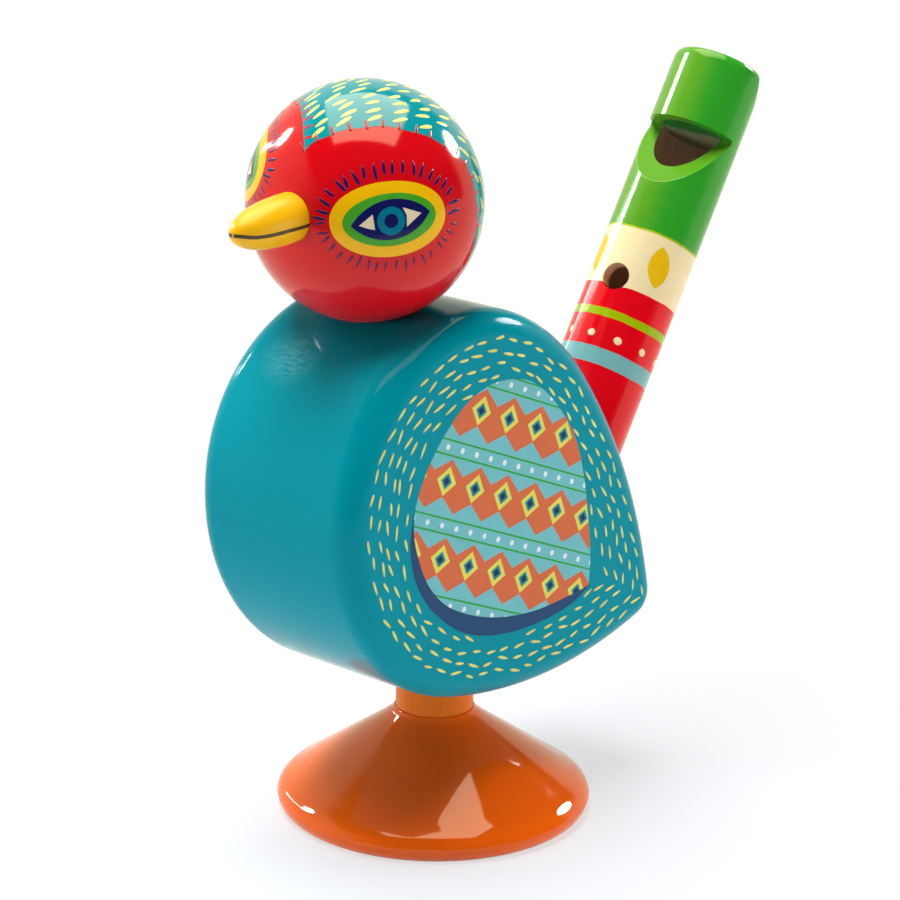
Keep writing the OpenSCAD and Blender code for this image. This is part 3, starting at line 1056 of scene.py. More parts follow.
def brush_tree():
    tree, give, out = named_tree(
        "brush_strokes", "GeometryNodeTree",
        {
            "Path": ("Geometry", None),
            "Surface": ("Object", None),
            "Spacing": ("Float", 4 * MM),
            "Length": ("Float", 2 * MM),
            "Width": ("Float", 0.5 * MM),
            "Thickness": ("Float", 0.03 * MM),
            "Taper": ("Float", 0.3),
            "Angle": ("Float", 0.0),
            "Wander": ("Float", 0.3 * MM),
            "Swing": ("Float", 0.15),
            "Seed": ("Int", 1),
            "Material": ("Material", None),
        },
        {"Geometry": "Geometry"},
    )
    seed, here = give["Seed"], get(tree, "GeometryNodeInputPosition")
    wood = get(tree, "GeometryNodeObjectInfo", {0: give["Surface"]}, "Geometry", transform_space="RELATIVE")
    spot = get(
        tree, "GeometryNodeProximity", {0: wood, "Sample Position": here}, "Position", target_element="FACES",
    )
    up = vector("NORMALIZE", get(
        tree, "GeometryNodeSampleNearestSurface",
        {"Mesh": wood, "Value": get(tree, "GeometryNodeInputNormal"), "Sample Position": here},
        "Value", data_type="FLOAT_VECTOR",
    ))

    # Spaced points that wander
    curve = get(tree, "GeometryNodeMeshToCurve", {0: give["Path"]})
    spaced = get(tree, "GeometryNodeResampleCurve", {0: curve, "Length": give["Spacing"]}, mode="LENGTH")
    points = add(tree, "GeometryNodeCurveToPoints", {0: spaced}, mode="EVALUATED")
    stray = get(
        tree, "FunctionNodeRandomValue", {0: (-1, -1, -1), 1: (1, 1, 1), "Seed": seed},
        data_type="FLOAT_VECTOR",
    )
    wandering = {0: Wire(tree, points.outputs[0]), "Offset": scaled(stray, give["Wander"])}
    strayed = get(tree, "GeometryNodeSetPosition", wandering)

    # Each dab's turn and size
    stand = get(tree, "FunctionNodeAlignRotationToVector", {"Vector": up}, axis="Z")
    aim = get(
        tree, "FunctionNodeAlignRotationToVector",
        {"Rotation": stand, "Vector": Wire(tree, points.outputs["Tangent"])}, axis="X", pivot_axis="Z",
    )
    swing = get(tree, "FunctionNodeRandomValue", {2: -1.0, 3: 1.0, "Seed": seed + 7.0}, 1)
    angle = swing * give["Swing"] + give["Angle"]
    spin = get(tree, "FunctionNodeAxisAngleToRotation", {"Axis": (0, 0, 1), "Angle": angle})
    turn = get(
        tree, "FunctionNodeRotateRotation", {"Rotation": aim, "Rotate By": spin}, rotation_space="LOCAL",
    )
    size = get(tree, "FunctionNodeRandomValue", {2: 0.82, 3: 1.15, "Seed": seed + 19.0}, 1)
    half_long, half_wide = give["Length"] * 0.5 * size, give["Width"] * 0.5
    scale = get(tree, "ShaderNodeCombineXYZ", {0: half_long, 1: half_wide, 2: give["Thickness"]})

    # The dab: a blob that narrows to one end, with a flat top
    blob = get(tree, "GeometryNodeMeshUVSphere", {"Segments": 12, "Rings": 4, "Radius": 1.0}, "Mesh")
    x, y, z = parts(here)
    flat_top = calc("MINIMUM", calc("MAXIMUM", z * 1.45, -1.0), 1.0)
    shaped = get(tree, "ShaderNodeCombineXYZ", {0: x, 1: y * (1.0 - x * give["Taper"]), 2: flat_top})
    dab = get(tree, "GeometryNodeSetPosition", {0: blob, "Position": shaped})
    marked = get(tree, "GeometryNodeStoreNamedAttribute", {0: dab, "Name": "rise", "Value": flat_top})
    each = {0: strayed, "Instance": marked, "Rotation": turn, "Scale": scale}
    placed = get(tree, "GeometryNodeInstanceOnPoints", each)

    # Real dabs, pressed onto the wood
    real = get(tree, "GeometryNodeRealizeInstances", {0: placed})
    rise = get(tree, "GeometryNodeInputNamedAttribute", {"Name": "rise"})
    onto = vector("ADD", spot, scaled(up, rise * give["Thickness"]))
    pressed = get(tree, "GeometryNodeSetPosition", {0: real, "Position": onto})
    smooth = get(tree, "GeometryNodeSetShadeSmooth", {0: pressed})
    join(tree, out, {0: get(tree, "GeometryNodeSetMaterial", {0: smooth, "Material": give["Material"]})})
    return tree


BRUSH = brush_tree()


def strokes(
    name, paths, surface, material, spacing, length, width,
    angle=0.0, wander=0.2, swing=8.0, taper=0.3, thick=0.03, seed=1,
):
    """Dabs along paths of points in millimetres, pressed onto a surface. Angles are in degrees."""
    points, edges = [], []
    for path in paths:
        edges += [(len(points) + k, len(points) + k + 1) for k in range(len(path) - 1)]
        points += path
    obj = new_piece(name, points, edges=edges)
    run_tree(
        obj, BRUSH, Surface=surface, Spacing=spacing * MM, Length=length * MM, Width=width * MM,
        Thickness=thick * MM, Taper=taper, Angle=math.radians(angle), Wander=wander * MM,
        Swing=math.radians(swing), Seed=seed, Material=material,
    )
    print(f"{name}: {len(obj.data.vertices) // 38} dabs, {len(obj.data.polygons)} faces")
    return obj


print("brush ready")

# %% [markdown]
# The cap is combed with straw-coloured strokes in rows that run with its edge, from the point between the
# eyes over the crown and down the nape. Near the point, the left rows fill both sides of it. Short red
# ticks break the cap's edge.

# %% Comb the cap
ROW_GAP, EDGE_GAP, NAPE = 7.6, 6, 205


def combed_row(edge, sign, row):
    """The path of one row of strokes, which ends where it would leave the cap."""
    path = []
    for k in range(61):
        over = mix(CAP_FROM + 6 if sign > 0 else 84, NAPE, k / 60)
        across = abs(across_at(edge, over)) - ROW_GAP * row
        least = 5
        if sign > 0:
            past_middle = mix(5, -16, min(1, max(0, (100 - over) / 25)))
            least = max(past_middle, across_at(RIGHT_EDGE, over) + EDGE_GAP)
        if across > least:
            path.append(on_ball(over, sign * across))
        elif len(path) > 3:
            break
    return path


# Each half's edge, side, word, seed of its dashes and spacing of its ticks
CAP_HALVES = ((LEFT_EDGE, 1, "left", 3, 2.7), (RIGHT_EDGE, -1, "right", 5, 2.1))
head_strokes = []
for edge, sign, word, seed, _ in CAP_HALVES:
    rows = [path for path in (combed_row(edge, sign, row) for row in range(1, 9)) if len(path) > 3]
    head_strokes.append(strokes(
        f"cap_dashes_{word}", rows, ball, PAINTS["straw"], 4.2, 3.6, 0.95, angle=22 * sign,
        wander=0.4, swing=7, taper=-0.3, thick=0.05, seed=seed,
    ))
turns_over = [mix(CAP_FROM + 2, 200, k / 80) for k in range(81)]
for edge, sign, word, _, tick_gap in CAP_HALVES:
    rim = [on_ball(over, across_at(edge, over) - sign * 3.2) for over in turns_over]
    head_strokes.append(strokes(
        f"cap_ticks_{word}", [rim], ball, PAINTS["tick"], tick_gap, 2.3, 0.5, angle=90 * sign,
        wander=0.15, swing=10, taper=0.45, thick=0.05, seed=11,
    ))

# %% [markdown]
# Lashes stand round each eye like the rays of a sun: strokes across an oval path. The lower ones are
# thinner and shorter.

# %% Paint the lashes
LASHES = ((0, "upper", "lash", 2.75, 0.56), (60, "lower", "lash_thin", 2.15, 0.4))
round_eye = oval(11.35, 8.05, (0.35, 0.1), 3, count=120)
for side, word in SIDES:
    around = [eye_wrap(side, 0.0)(p) for p in round_eye * 2]
    for start, half, brush, length, width in LASHES:
        head_strokes.append(strokes(
            f"lashes_{half}_{word}", [around[start:start + 60]], ball, PAINTS[brush], 1.55, length, width,
            angle=90 * side, wander=0.3, swing=10, taper=-0.3, thick=0.018, seed=2,
        ))

# %% [markdown]
# The mouth is one thin brown line along each side of the beak that meets at the tip. A ribbon of points
# is laid along the line and set on the beak's own surface.

# %% Draw the mouth line
MOUTH = [
    (19.2, -0.7), (21.5, -0.72), (24, -0.64), (27, -0.63), (29.5, -0.58), (31.5, -0.42), (33, -0.1),
    (33.69, 0),
]
MOUTH_HALF, MOUTH_LIFT = 0.3, 0.04


def beak_radius(along):
    """The beak's radius at a distance from the ball's centre, and how fast it falls there."""
    for (r0, z0), (r1, z1) in zip(taper, taper[1:]):
        if z0 <= along <= z1:
            return mix(r0, r1, (along - z0) / (z1 - z0)), (r0 - r1) / (z1 - z0)
    return (BEAK_R, 0.0) if along < BEAK_FROM else (0.0, 9.0)


def on_beak(side, along, height):
    """A place just above the beak, on its left (1) or right (-1) side."""
    r, fall = beak_radius(along)
    height = max(-r, min(r, height))
    spot = Vector((side * math.sqrt(max(0.0, r * r - height * height)), height, along))
    return beak_place @ (spot + Vector((spot.x, spot.y, fall * r)).normalized() * MOUTH_LIFT)


beak_mouth = []
for side, word in SIDES:
    line = spline(MOUTH, 6, closed=False)
    rows = [[on_beak(side, p.x, p.y + mix(-MOUTH_HALF, MOUTH_HALF, i / 4)) for i in range(5)] for p in line]
    way_out = rows[0][2] - beak_place @ Vector((0, 0, MOUTH[0][0]))
    beak_mouth.append(thicken(grid_sheet(f"mouth_line_{word}", rows), way_out, PAINTS["mouth"], 0.06))
print("mouth line:", len(line), "steps")

# %% [markdown]
# ## The wing
# On each flat side sits a wing: a rounded panel with a woven-looking print, and a blue crescent under it
# like a shadow. The print is a plain folk pattern of its own: zigzag bands with diamonds, thin lines and
# dots. It is drawn by a shader in the panel's own plane, from distances to lines and diamonds, because
# it repeats on a flat piece. Each mask paints its tone over what lies below.

# %% The wing's print
WING = [
    (-2, 83.6), (-8.6, 83.4), (-15, 80.4), (-21.3, 74.2), (-25.2, 67.2), (-26, 62.4), (-25, 57.4),
    (-21.9, 51), (-16.2, 45.8), (-6.4, 41.8), (4.6, 40.1), (15.2, 40.6), (20, 41.3), (20.2, 47),
    (19.2, 54.7), (17.6, 63), (14.8, 70.3), (9.8, 77), (4, 81.7),
]
CRESCENT = [
    (-26, 65.5), (-26.8, 60.4), (-26.6, 57.2), (-25.7, 53.7), (-24.2, 50.6), (-21.9, 47.4), (-19.1, 44.8),
    (-15.8, 42.2), (-12.1, 40.2), (-7.9, 38.8), (-3.8, 38), (1.3, 37.5), (7.2, 37.6), (12.4, 38.2),
    (16.7, 39.3), (20.3, 41.2), (12, 50), (-4, 56), (-20, 62),
]
BAND, STEP_LONG, PRINT_SCALE, PRINT_LEAN = 10.4, 3.1, 800.0, math.radians(-22)


def wing_print():
    material, _, shader, where = empty_material("wing_print")
    y, z = (part * PRINT_SCALE for part in parts(where)[1:])
    along = y * math.cos(PRINT_LEAN) + z * math.sin(PRINT_LEAN)
    over = z * math.cos(PRINT_LEAN) - y * math.sin(PRINT_LEAN)
    band = over % BAND
    shift = calc("FLOOR", over / BAND) * STEP_LONG + along
    wave = calc("PINGPONG", shift, STEP_LONG) * 0.62 + 2.6
    bead = abs(shift % (2 * STEP_LONG) - STEP_LONG) / 2.05 + abs(band - 4.1) / 2.05
    dot_x, dot_y = shift % STEP_LONG - STEP_LONG / 2, band - 8.6
    masks = [
        (abs(band - wave) < 2.6, paint(218, 112, 72)),
        (abs(abs(dot_y) - 1.0) < 0.14, paint(60, 170, 75)),
        (dot_x * dot_x + dot_y * dot_y < 0.16, paint(225, 238, 235)),
        (bead < 1.0, paint(226, 220, 95)),
        (bead < 0.56, paint(30, 135, 150)),
        (bead < 0.3, paint(38, 55, 92)),
    ]
    colour = paint(118, 192, 194)
    for mask, tone in masks:
        colour = blend(mask, colour, tone)
    finish_with_film(shader, where, colour, gloss=0.3, waves=0.4, coat=1.15)
    return material


WING_PRINT = wing_print()


def side_wrap(side, lift):
    """Takes a flat (y, z) point to the block's left (1) or right (-1) side."""
    return lambda p, more=0.0: Vector((side * (BODY_HALF + lift + more), p[0], p[1]))


wing_edge = spline(WING, 8, corners=(12,))
crescent_edge = spline(CRESCENT, 5, corners=(0, 15))
wings = []
for side, word in SIDES:
    wings += [
        patch(f"wing_crescent_{word}", crescent_edge, side_wrap(side, 0.02), PAINTS["crescent"], 3, (-3, 50)),
        patch(f"wing_panel_{word}", wing_edge, side_wrap(side, 0.04), WING_PRINT, 3, (-3, 60)),
    ]
print("wing outline:", len(wing_edge), "points")

# %% [markdown]
# Rows of straw dashes run round the wing like feathers, at even distances from the block's outline. A
# row stops where the wing or its crescent is in the way, and at the line to the tail, where the upper and
# lower rows meet.

# %% Brush the dashes round the wing
ROW_INSETS, WING_GAP, TAIL_LINE_GAP = (4.9, 7.0, 9.1, 11.2, 13.3), 0.9, 1.2
tail_point = Vector(in_row(tail_c))
tail_line = heading((tail_low + tail_top) / 2)


def inside(p, edge):
    """Whether a flat point lies inside a closed outline."""
    hit = False
    for a, b in zip(edge, edge[1:] + edge[:1]):
        if (a.y > p.y) != (b.y > p.y) and p.x < (b.x - a.x) * (p.y - a.y) / (b.y - a.y) + a.x:
            hit = not hit
    return hit


def dash_may_lie(p, inset):
    """Whether a point of a row is its own, off the line to the tail and clear of the wing."""
    v = p - tail_point
    off_row = abs(inset_and_way_out(*p)[0] - inset)
    off_line = abs(v.x * tail_line.y - v.y * tail_line.x)
    if off_row >= 0.1 or off_line <= TAIL_LINE_GAP:
        return False
    edges = (wing_edge, crescent_edge)
    return all(not inside(p, edge) and min((p - q).length for q in edge) > WING_GAP for edge in edges)


feather_rows = []
for inset in ROW_INSETS:
    path = []
    ring = [Vector(p) for p in outline(inset, 1.0)]
    for p in (*ring, ring[0], None):
        if p is not None and dash_may_lie(p, inset):
            path.append(p)
        else:
            if len(path) > 4:
                feather_rows.append(path)
            path = []
feathers = [
    strokes(
        f"feather_dashes_{word}", [[(side * BODY_HALF, *p) for p in path] for path in feather_rows], body,
        PAINTS["feather"], 3.75, 2.65, 0.52, wander=0.45, swing=15, taper=0.25, thick=0.03, seed=4,
    )
    for side, word in SIDES
]
print("rows of dashes:", len(feather_rows))

# %% [markdown]
# ## The whistle
# The whistle is the most skilled part of the object. A tube is turned and bored. A window is sawn into
# it with an upright step on the mouth side and a long ramp to the other side, whose edge splits the air.
# A plug with a flat on top closes the mouth end and leaves a thin windway. Behind the mouthpiece, a
# scoop makes room for the lower lip. All cuts are made in the tube's own frame, with its axis along Z and
# the window towards -Y, and a fine bevel then breaks the sharp edges.

# %% Turn, bore and cut the tube
TUBE_R, BORE_R, TUBE_OUT, LIP = 8.75, 6.2, 81.6, 0.7
TUBE_END = TUBE_OUT + LIP
ROUND_IN, ROUND_DOWN = 1.1, 1.8
STEP, RAMP_LONG, WINDOW_STOP = TUBE_OUT - 13.5, 12.1, 1.2
TONE_R, TONE_AT = 2.6, TUBE_OUT - 45.7
beyond = TUBE_R + 1
ramp_slope = RAMP_LONG / (TUBE_R - WINDOW_STOP)
tube_profile = [
    (0, -SOCKET_DEEP), (TUBE_R - 0.6, -SOCKET_DEEP), (TUBE_R, 0.6 - SOCKET_DEEP), (TUBE_R, 10), (TUBE_R, 40),
    (TUBE_R, 70),
    *[(TUBE_R - ROUND_IN * (1 - c), TUBE_END - ROUND_DOWN * (1 - h)) for c, h in arc((0, 0), 1, 0, 90, 14)],
    (0, TUBE_END),
]
SCOOP_C, SCOOP_R = (35.4, 99.8), 40
scoop_side = [*arc(SCOOP_C, SCOOP_R, 200, 236, 40), (60, 66), (60, 120), (-2.2, 120)]
window = [
    (-beyond, STEP - 1 - RAMP_LONG - ramp_slope), (-WINDOW_STOP, STEP - 1), (-WINDOW_STOP, STEP),
    (-beyond, STEP),
]


def break_edges(obj, width, angle=35):
    """A fine bevel on the sharp edges, with normals that keep the faces beside them true."""
    bevel = obj.modifiers.new("bevel", "BEVEL")
    bevel.width, bevel.segments = width * MM, 2
    bevel.limit_method, bevel.angle_limit = "ANGLE", math.radians(angle)
    bevel.use_clamp_overlap, bevel.harden_normals = True, True
    return bake(obj)


def tube_normal(p):
    """Straight out on the turned surface and its rounded mouth, and straight in on the bore."""
    out = Vector((p.x, p.y, 0))
    radius, out = out.length, out.normalized()
    rise, reach = (p.z - TUBE_END) / ROUND_DOWN + 1, (radius - TUBE_R) / ROUND_IN + 1
    if abs(radius - BORE_R) < 0.01:
        return -out
    if abs(radius - TUBE_R) < 0.01 and rise < 0.01:
        return out
    if rise > 0 and reach > 0 and abs(math.hypot(rise, reach) - 1) < 0.01:
        return (out * (reach / ROUND_IN) + Vector((0, 0, rise / ROUND_DOWN))).normalized()
    return None


tube = turn_piece("whistle_tube_bored", tube_profile, None, sides=128)
cut(
    tube,
    rod("bore", BORE_R, -SOCKET_DEEP - 2, TUBE_END + 3.7, sides=128),
    prism("window_cut", 17, window),
    rod("tone_bore", TONE_R, 0, 2 * TUBE_R, moved(0, 0, TONE_AT) @ turned("X", 90), 64),
    prism("scoop_cut", 20, scoop_side),
)
tidy(tube, merge=0.002)
break_edges(tube, 0.16)
set_normals(tube, tube_normal)
tube.data.transform(in_metres(whistle))
print(f"tube: {len(tube.data.polygons)} faces")

# %% [markdown]
# The plug's lower end leans, so that the windway's floor ends sharply at the window. Its flat and the
# bore make the slit that one blows through.

# %% Cut the plug
PLUG_R, PLUG_TOP = 6.12, 5
fall = math.tan(math.radians(4))
plug_profile = [
    (0, STEP - 12.4), (PLUG_R, STEP - 12.4), (PLUG_R, 60), (PLUG_R, 75), (PLUG_R, TUBE_END), (0, TUBE_END),
]
plug = turn_piece("whistle_plug_cut", plug_profile, None, sides=96)
lower = [(-6, STEP + fall), (9, STEP - 14 * fall), (9, STEP - 30), (-6, STEP - 30)]
flat = [(-PLUG_TOP, STEP - 40), (-12, STEP - 40), (-12, STEP + 40), (-PLUG_TOP, STEP + 40)]
cut(plug, prism("plug_end", 10, lower), prism("plug_flat", 10, flat), prism("plug_scoop", 20, scoop_side))
tidy(plug, merge=0.002)
break_edges(plug, 0.12)
plug.data.transform(in_metres(whistle))
print(f"plug: {len(plug.data.polygons)} faces")

# %% [markdown]
# The tube's paint goes by the distance from the mouth end, so its material looks along the tube's own
# axis: a Mapping node turns and centres the Object coordinates. Green, cream and red lie side by side,
# with lime lines and a light blue band. A lighter, yellower green is painted light: on the ramp, which
# faces up to the lamps, and as a painted reflection in a band down one side of the green. The bore was
# drilled after painting, so it is bare wood.

# %% Paint the bands
BANDS = [
    (0.0, WHISTLE_GREEN), (35.35, LINE_LIME), (35.55, BAND_CREAM), (46.9, WHISTLE_RED), (51.9, LINE_LIME),
    (53.4, WHISTLE_RED), (59.1, BAND_BLUE), (62.4, WHISTLE_RED),
]
BORE_LIGHT, BORE_DARK = paint(238, 206, 180), paint(204, 168, 142)


def whistle_bands():
    material, tree, shader, where = empty_material("whistle_band_lacquer")
    own = local_coordinates(where, whistle)
    x, y, z = parts(own)
    down = z * -1000.0 + TUBE_OUT + (noise(own, 160.0) * 0.7 - 0.35)
    bands = colour_ramp(down / 100.0, [(start / 100, colour) for start, colour in BANDS], "CONSTANT")
    radius = vector("LENGTH", get(tree, "ShaderNodeCombineXYZ", {0: x, 1: y}))
    bare = radius < (BORE_R + 0.006) * MM
    on_ramp = (radius < (TUBE_R - 0.12) * MM) * (z < (STEP - 0.4) * MM) * (z > (STEP - 16) * MM)
    # Painted light: a lighter green on the ramp, and a painted reflection in a band with a noisy edge down
    # one side
    sheen_edge_noise = noise(vector("MULTIPLY", own, (1.0, 1.0, 3.0)), 420.0) * 0.44 - 0.22
    round_it = calc("ARCTAN2", x, y * -1.0) + sheen_edge_noise
    sheen_band = (ramp_up(round_it, -1.9, -1.3) - ramp_up(round_it, 0.0, 0.5)) * (down < 35.3)
    colour = blend(calc("MAXIMUM", on_ramp, sheen_band), bands, SHEEN_GREEN)
    fibres = {"Light": BORE_LIGHT, "Dark": BORE_DARK, "Vector": own}
    wood = get(tree, "ShaderNodeGroup", fibres, "Color", node_tree=GRAIN)
    finish_with_film(shader, where, blend(bare, colour, wood), waves=0.8, blur=0.13)
    join(tree, shader, {"Coat Weight": (1.0 - calc("MAXIMUM", bare, on_ramp)) * 0.85 + 0.15})
    return material


def window_edge_green(own, wood):
    """A darker green over the near edge of the plug's lower end, by the window."""
    _, y, z = parts(own)
    near = 1.0 - ramp_up(noise(own, 900.0, 3.0) * (1.6 * MM) + y, -1.6 * MM, 0.2 * MM)
    return blend(near * (z < (STEP + 1.5) * MM), wood, paint(35, 120, 45))


plug_wood = satin_wood(
    "plug_wood_oversprayed", paint(172, 178, 140), paint(125, 138, 100), coat=0.1, place=whistle,
    colour_over=window_edge_green,
)
for piece, finish in ((tube, whistle_bands()), (plug, plug_wood)):
    piece.data.materials.clear()
    piece.data.materials.append(finish)
print("bands:", len(BANDS))

# %% [markdown]
# Ten cream dots ring the tube above the blue band, and four yellow leaves lie on the cream band, two
# each side of the tone hole.

# %% Dots and leaves


def on_tube(from_mouth, degrees, lift=0.0):
    """A place on the tube, by the distance from the mouth end and the angle from the window's side."""
    out = heading(degrees - 90, TUBE_R + lift)
    return whistle @ Vector((out.x, out.y, TUBE_OUT - from_mouth))


def leaf_wrap(turn):
    """Takes a flat point of a leaf to the tube, at this turn round it."""
    return lambda p, more=0.0: on_tube(41.5 - p[1], turn + math.degrees(p[0] / TUBE_R), 0.025 + more)


dot_path = [on_tube(57.05, -3.5 + 36 * 9 * k / 90) for k in range(91)]
dots = strokes(
    "whistle_dots", [dot_path], tube, PAINTS["dot"], 5.49, 1.5, 1.5, wander=0.12, swing=20, taper=0.0,
    thick=0.015, seed=6,
)
leaf_edge = almond(3.9, 2.1, (0, 0), 100)
leaves = [
    patch(f"whistle_leaf_{k + 1}", leaf_edge, leaf_wrap(turn), PAINTS["leaf"], 5)
    for k, turn in enumerate((47, 137, 227, 317))
]
print("leaves:", len(leaves))

# %% [markdown]
# ## The dowel inside the neck
# The dowel between head and body is hidden in its bores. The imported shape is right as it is, so it only
# gets its finish: bare wood with fibres along the dowel.

# %% Finish the neck dowel
dowel = frame["nodes"]["head_dowel"]
dowel_wood = satin_wood(
    "dowel_bare_wood", paint(222, 190, 145), paint(190, 150, 105), rough=0.6, coat=0.0, place=neck,
)
for slot in dowel.material_slots:
    slot.material = dowel_wood
print("dowel:", dowel.name)

# %% [markdown]
# ## Everything rides on the one body
# Nothing on this object moves: all joints are glued. So every piece rides on the body "root". Each new
# piece takes the place of an imported node, which is hidden.

# %% Ride and replace
stands_for = [
    (foot, "foot", "foot_lacquer"), (leg, "leg_dowel", "leg_lacquer"), (body, "body_block", "body_lacquer"),
    (ball, "head_ball", "head_lacquer"), (beak, "beak", "beak_lacquer"),
    (tube, "whistle_tube", "whistle_lacquer"), (plug, "whistle_block", "block_wood"),
]
for piece, node, finish in stands_for:
    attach(piece, "root")
    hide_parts(node)
painted_on = [
    (eye_pieces + [cap] + head_strokes, "head_lacquer"), (wings + feathers, "body_lacquer"),
    (beak_mouth, "beak_lacquer"), ([dots] + leaves, "whistle_lacquer"),
]
for pieces, finish in painted_on:
    for piece in pieces:
        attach(piece, "root")
print(len(stands_for), "pieces of wood,", sum(len(p) for p, _ in painted_on), "layers of paint")

# %% [markdown]
# ## The studio
# The camera looks slightly down at the bird's left cheek through a long lens.

# %% Camera
BACK = Vector((0.6444, -0.7091, 0.2862)).normalized()
RIGHT = Vector((*heading(42.26), 0))
UP = BACK.cross(RIGHT)
ROLL = math.radians(0.9)
right = RIGHT * math.cos(ROLL) + UP * math.sin(ROLL)
up = UP * math.cos(ROLL) - RIGHT * math.sin(ROLL)
camera_data = bpy.data.cameras.new("camera")
camera_data.sensor_width, camera_data.lens = 36, 36 * 3096.27 / 900
camera_data.clip_start, camera_data.clip_end = 0.01, 50
camera = in_scene("camera", camera_data)
spot = Vector((352.18, -384.46, 222.43)) * MM
camera.matrix_world = Matrix.Translation(spot) @ Matrix((right, up, BACK)).transposed().to_4x4()
bpy.context.scene.camera = camera
print(f"lens {camera_data.lens:.1f} mm")

# %% [markdown]
# Lacquer mirrors every lamp, so the lamps' places and sizes decide how it looks. Two windows give the
# small bright spots on the head, a panel overhead gives the pale field on the crown, and a long strip
# gives the streak down the whistle. The lamps that light the surfaces are others, so that the two can be
# set apart. A lamp's power in watts says little about how bright it looks in a reflection. Radiance
# does, so the helper turns a radiance and a size into watts.

# %% Lamps
HEAD, BIRD, TAIL = Vector((0, -19, 114)), Vector((0, 0, 80)), Vector((0, 62, 100))
toward_camera, to_right = Vector((0.6725, -0.7401, 0)), Vector((0.7401, 0.6725, 0))


def lamp(name, place, aim, wide, high, radiance, gloss, shape="RECTANGLE", tint=(1, 1, 1)):
    """A soft lamp, in millimetres. A radiance of 1 is white. With gloss it only shows as a
    reflection, and without it only lights the surfaces."""
    data = bpy.data.lights.new(name, "AREA")
    data.shape, data.size, data.size_y = shape, wide * MM, high * MM
    data.energy, data.color = radiance * math.pi * wide * high * MM * MM, tint
    obj = in_scene(name, data)
    obj.location = Vector(place) * MM
    obj.rotation_mode = "QUATERNION"
    obj.rotation_quaternion = (Vector(place) - Vector(aim)).to_track_quat("Z", "Y")
    obj.visible_camera = False
    obj.visible_glossy, obj.visible_diffuse = gloss, not gloss
    return obj


def set_axes(obj, x, y, z):
    """Turns an object so that its own axes point these ways."""
    obj.rotation_quaternion = Matrix((x, y, z)).transposed().to_quaternion()
    return obj


def overhead(name, above, right, nearer, wide, deep, radiance, gloss, tint=(1, 1, 1)):
    """A level lamp above the head. Its shifts and sizes are shares of its height above the head."""
    centre = HEAD + (Vector((0, 0, 1)) + to_right * right + toward_camera * nearer) * above
    panel = lamp(name, centre, HEAD, wide * above, deep * above, radiance, gloss, tint=tint)
    return set_axes(panel, to_right, -toward_camera, Vector((0, 0, 1)))


lamps = [
    lamp("left_window", (-862, -190, 575), HEAD, 140, 200, 52, True, "ELLIPSE"),
    lamp("right_window", (184, 887, 495), HEAD, 320, 230, 27, True, "ELLIPSE"),
    lamp("left_light", (-880, -133, 575), BIRD, 210, 230, 8, False),
    lamp("front_light", (-560, -950, 90), BIRD, 700, 260, 6.4, False),
    lamp("side_light", (860, 700, 150), BIRD, 700, 300, 8.0, False),
    overhead("overhead_panel", 420, 0.01, -0.205, 1.04, 1.27, 6.0, True, (1, 0.9, 0.62)),
    overhead("overhead_light", 1000, -0.2, 0.0, 0.62, 0.76, 11.5, False),
]
strip_top, strip_end = Vector((-905, -245, 535)), Vector((-1040, 130, 245))
strip_long = strip_top - strip_end
strip = lamp("left_strip", (strip_top + strip_end) / 2, TAIL, strip_long.length, 55, 10, True)
long_way, facing = strip_long.normalized(), strip.location.normalized()
facing = (facing - long_way * facing.dot(long_way)).normalized()
lamps.append(set_axes(strip, long_way, facing.cross(long_way), facing))
print("lamps:", ", ".join(obj.name for obj in lamps))

# %% [markdown]
# The floor is a plain pale plane. Near the bird the camera sees its lit surface with the soft shadow, and
# further out it fades into the white of the backdrop, so that no horizon shows. Towards the camera its
# reflection is dark, as a studio is dark there.

# %% Floor
FLOOR_HALF = 4000


def ray_kinds(tree):
    """Whether a ray comes from the camera, and whether it is a reflection."""
    rays = add(tree, "ShaderNodeLightPath")
    return [Wire(tree, rays.outputs[name]) for name in ("Is Camera Ray", "Is Glossy Ray")]


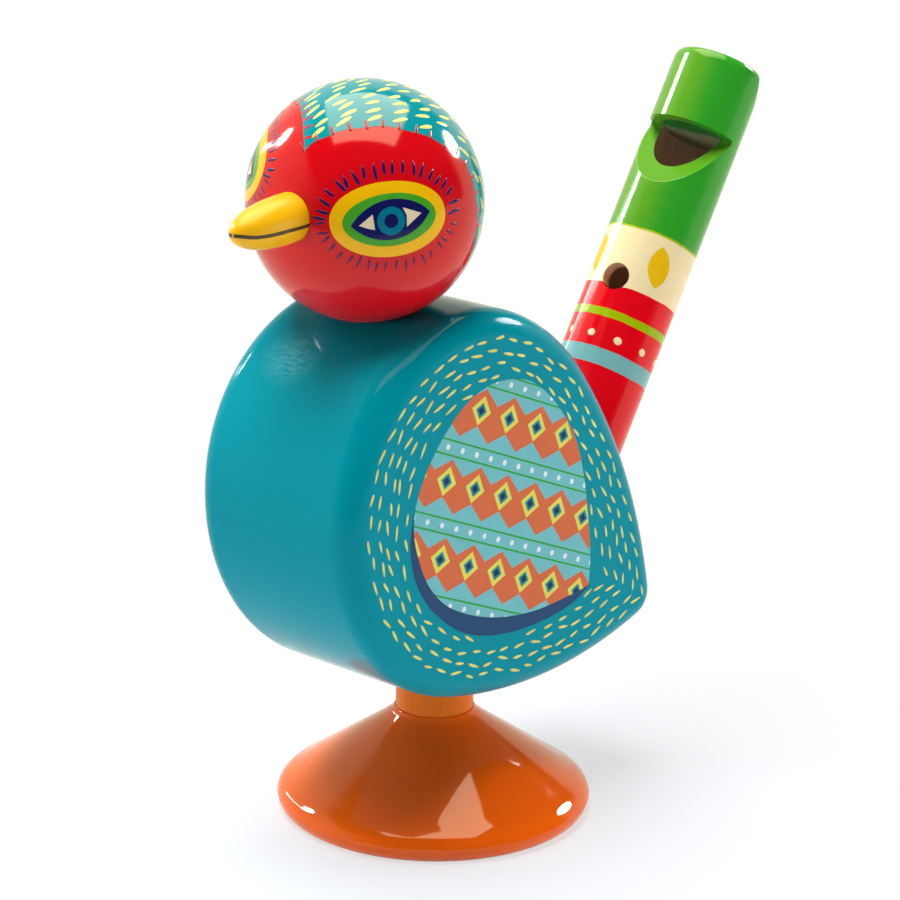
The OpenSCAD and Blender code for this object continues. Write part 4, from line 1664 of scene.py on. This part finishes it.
corners = [(x * FLOOR_HALF, y * FLOOR_HALF, 0) for x, y in ((-1, -1), (1, -1), (1, 1), (-1, 1))]
floor = new_piece("floor", corners, [(0, 1, 2, 3)])
floor.location.z = -0.00005
floor_material = bpy.data.materials.new("pale_floor")
floor_material.use_nodes = True
tree = floor_material.node_tree
tree.nodes.clear()
where = get(tree, "ShaderNodeTexCoord", None, "Object")
from_camera, glossy = ray_kinds(tree)
dark_side = ramp_up(vector("DOT_PRODUCT", where, tuple(toward_camera)), 0.19, 0.33) * glossy
far = ramp_up(vector("LENGTH", where), 0.04, 0.13) * 0.36 + 0.64
tone = blend(dark_side, (0.8, 0.83, 0.9, 1), (0.1, 0.1, 0.1, 1))
matt = get(tree, "ShaderNodeBsdfDiffuse", {"Color": tone})
bright = blend(glossy, (1, 1, 1, 1), (1, 0.95, 0.78, 1))
white = get(tree, "ShaderNodeEmission", {"Color": bright, "Strength": 1.0})
white_share = far * calc("MAXIMUM", from_camera, glossy) * (1.0 - dark_side)
both = get(tree, "ShaderNodeMixShader", {0: white_share, 1: matt, 2: white})
add(tree, "ShaderNodeOutputMaterial", {0: both})
floor.data.materials.append(floor_material)
floor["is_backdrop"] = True
print("floor laid")

# %% [markdown]
# The world is white to the camera. To reflections it is a room: a bright wall on the bird's right and
# behind it, a dark side where the camera stands, and a dark ceiling. It hardly lights the surfaces.

# %% World
# The walls as (degrees round from the front, brightness)
WALLS = [
    (-180, 1.0), (-45, 1.0), (-28, 0.8), (-14, 0.42), (-4, 0.2), (6, 0.04), (150, 0.04), (157, 1.0),
    (180, 1.0),
]
world = bpy.data.worlds.new("studio")
bpy.context.scene.world = world
world.use_nodes = True
tree = world.node_tree
tree.nodes.clear()
x, y, z = parts(get(tree, "ShaderNodeTexCoord", None, "Generated"))
round_share = calc("ARCTAN2", x, y * -1.0) * (1 / math.tau) + 0.5
walls = colour_ramp(round_share, [((d + 180) / 360, (v, v, v, 1)) for d, v in WALLS], "LINEAR")
wall_top = ramp_up(x, -0.1, -0.6) * 0.38 + 0.3
room = blend(ramp_up(z - wall_top, 0.0, 0.1), walls, (0.07, 0.07, 0.07, 1))
from_camera, glossy = ray_kinds(tree)
unseen = blend(glossy, (0.12, 0.12, 0.13, 1), vector("MULTIPLY", room, (1.0, 0.95, 0.74)))
sky = get(tree, "ShaderNodeBackground", {"Color": blend(from_camera, unseen, (1, 1, 1, 1)), "Strength": 1.0})
add(tree, "ShaderNodeOutputWorld", {0: sky})
bpy.context.scene.view_settings.view_transform = "Standard"
print("studio ready")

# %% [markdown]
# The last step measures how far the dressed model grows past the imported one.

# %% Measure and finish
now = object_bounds()
past = [round(max(cad_box[0][i] - now[0][i], now[1][i] - cad_box[1][i], 0) / MM, 3) for i in range(3)]
print("grows past the packed box by", past, "mm")
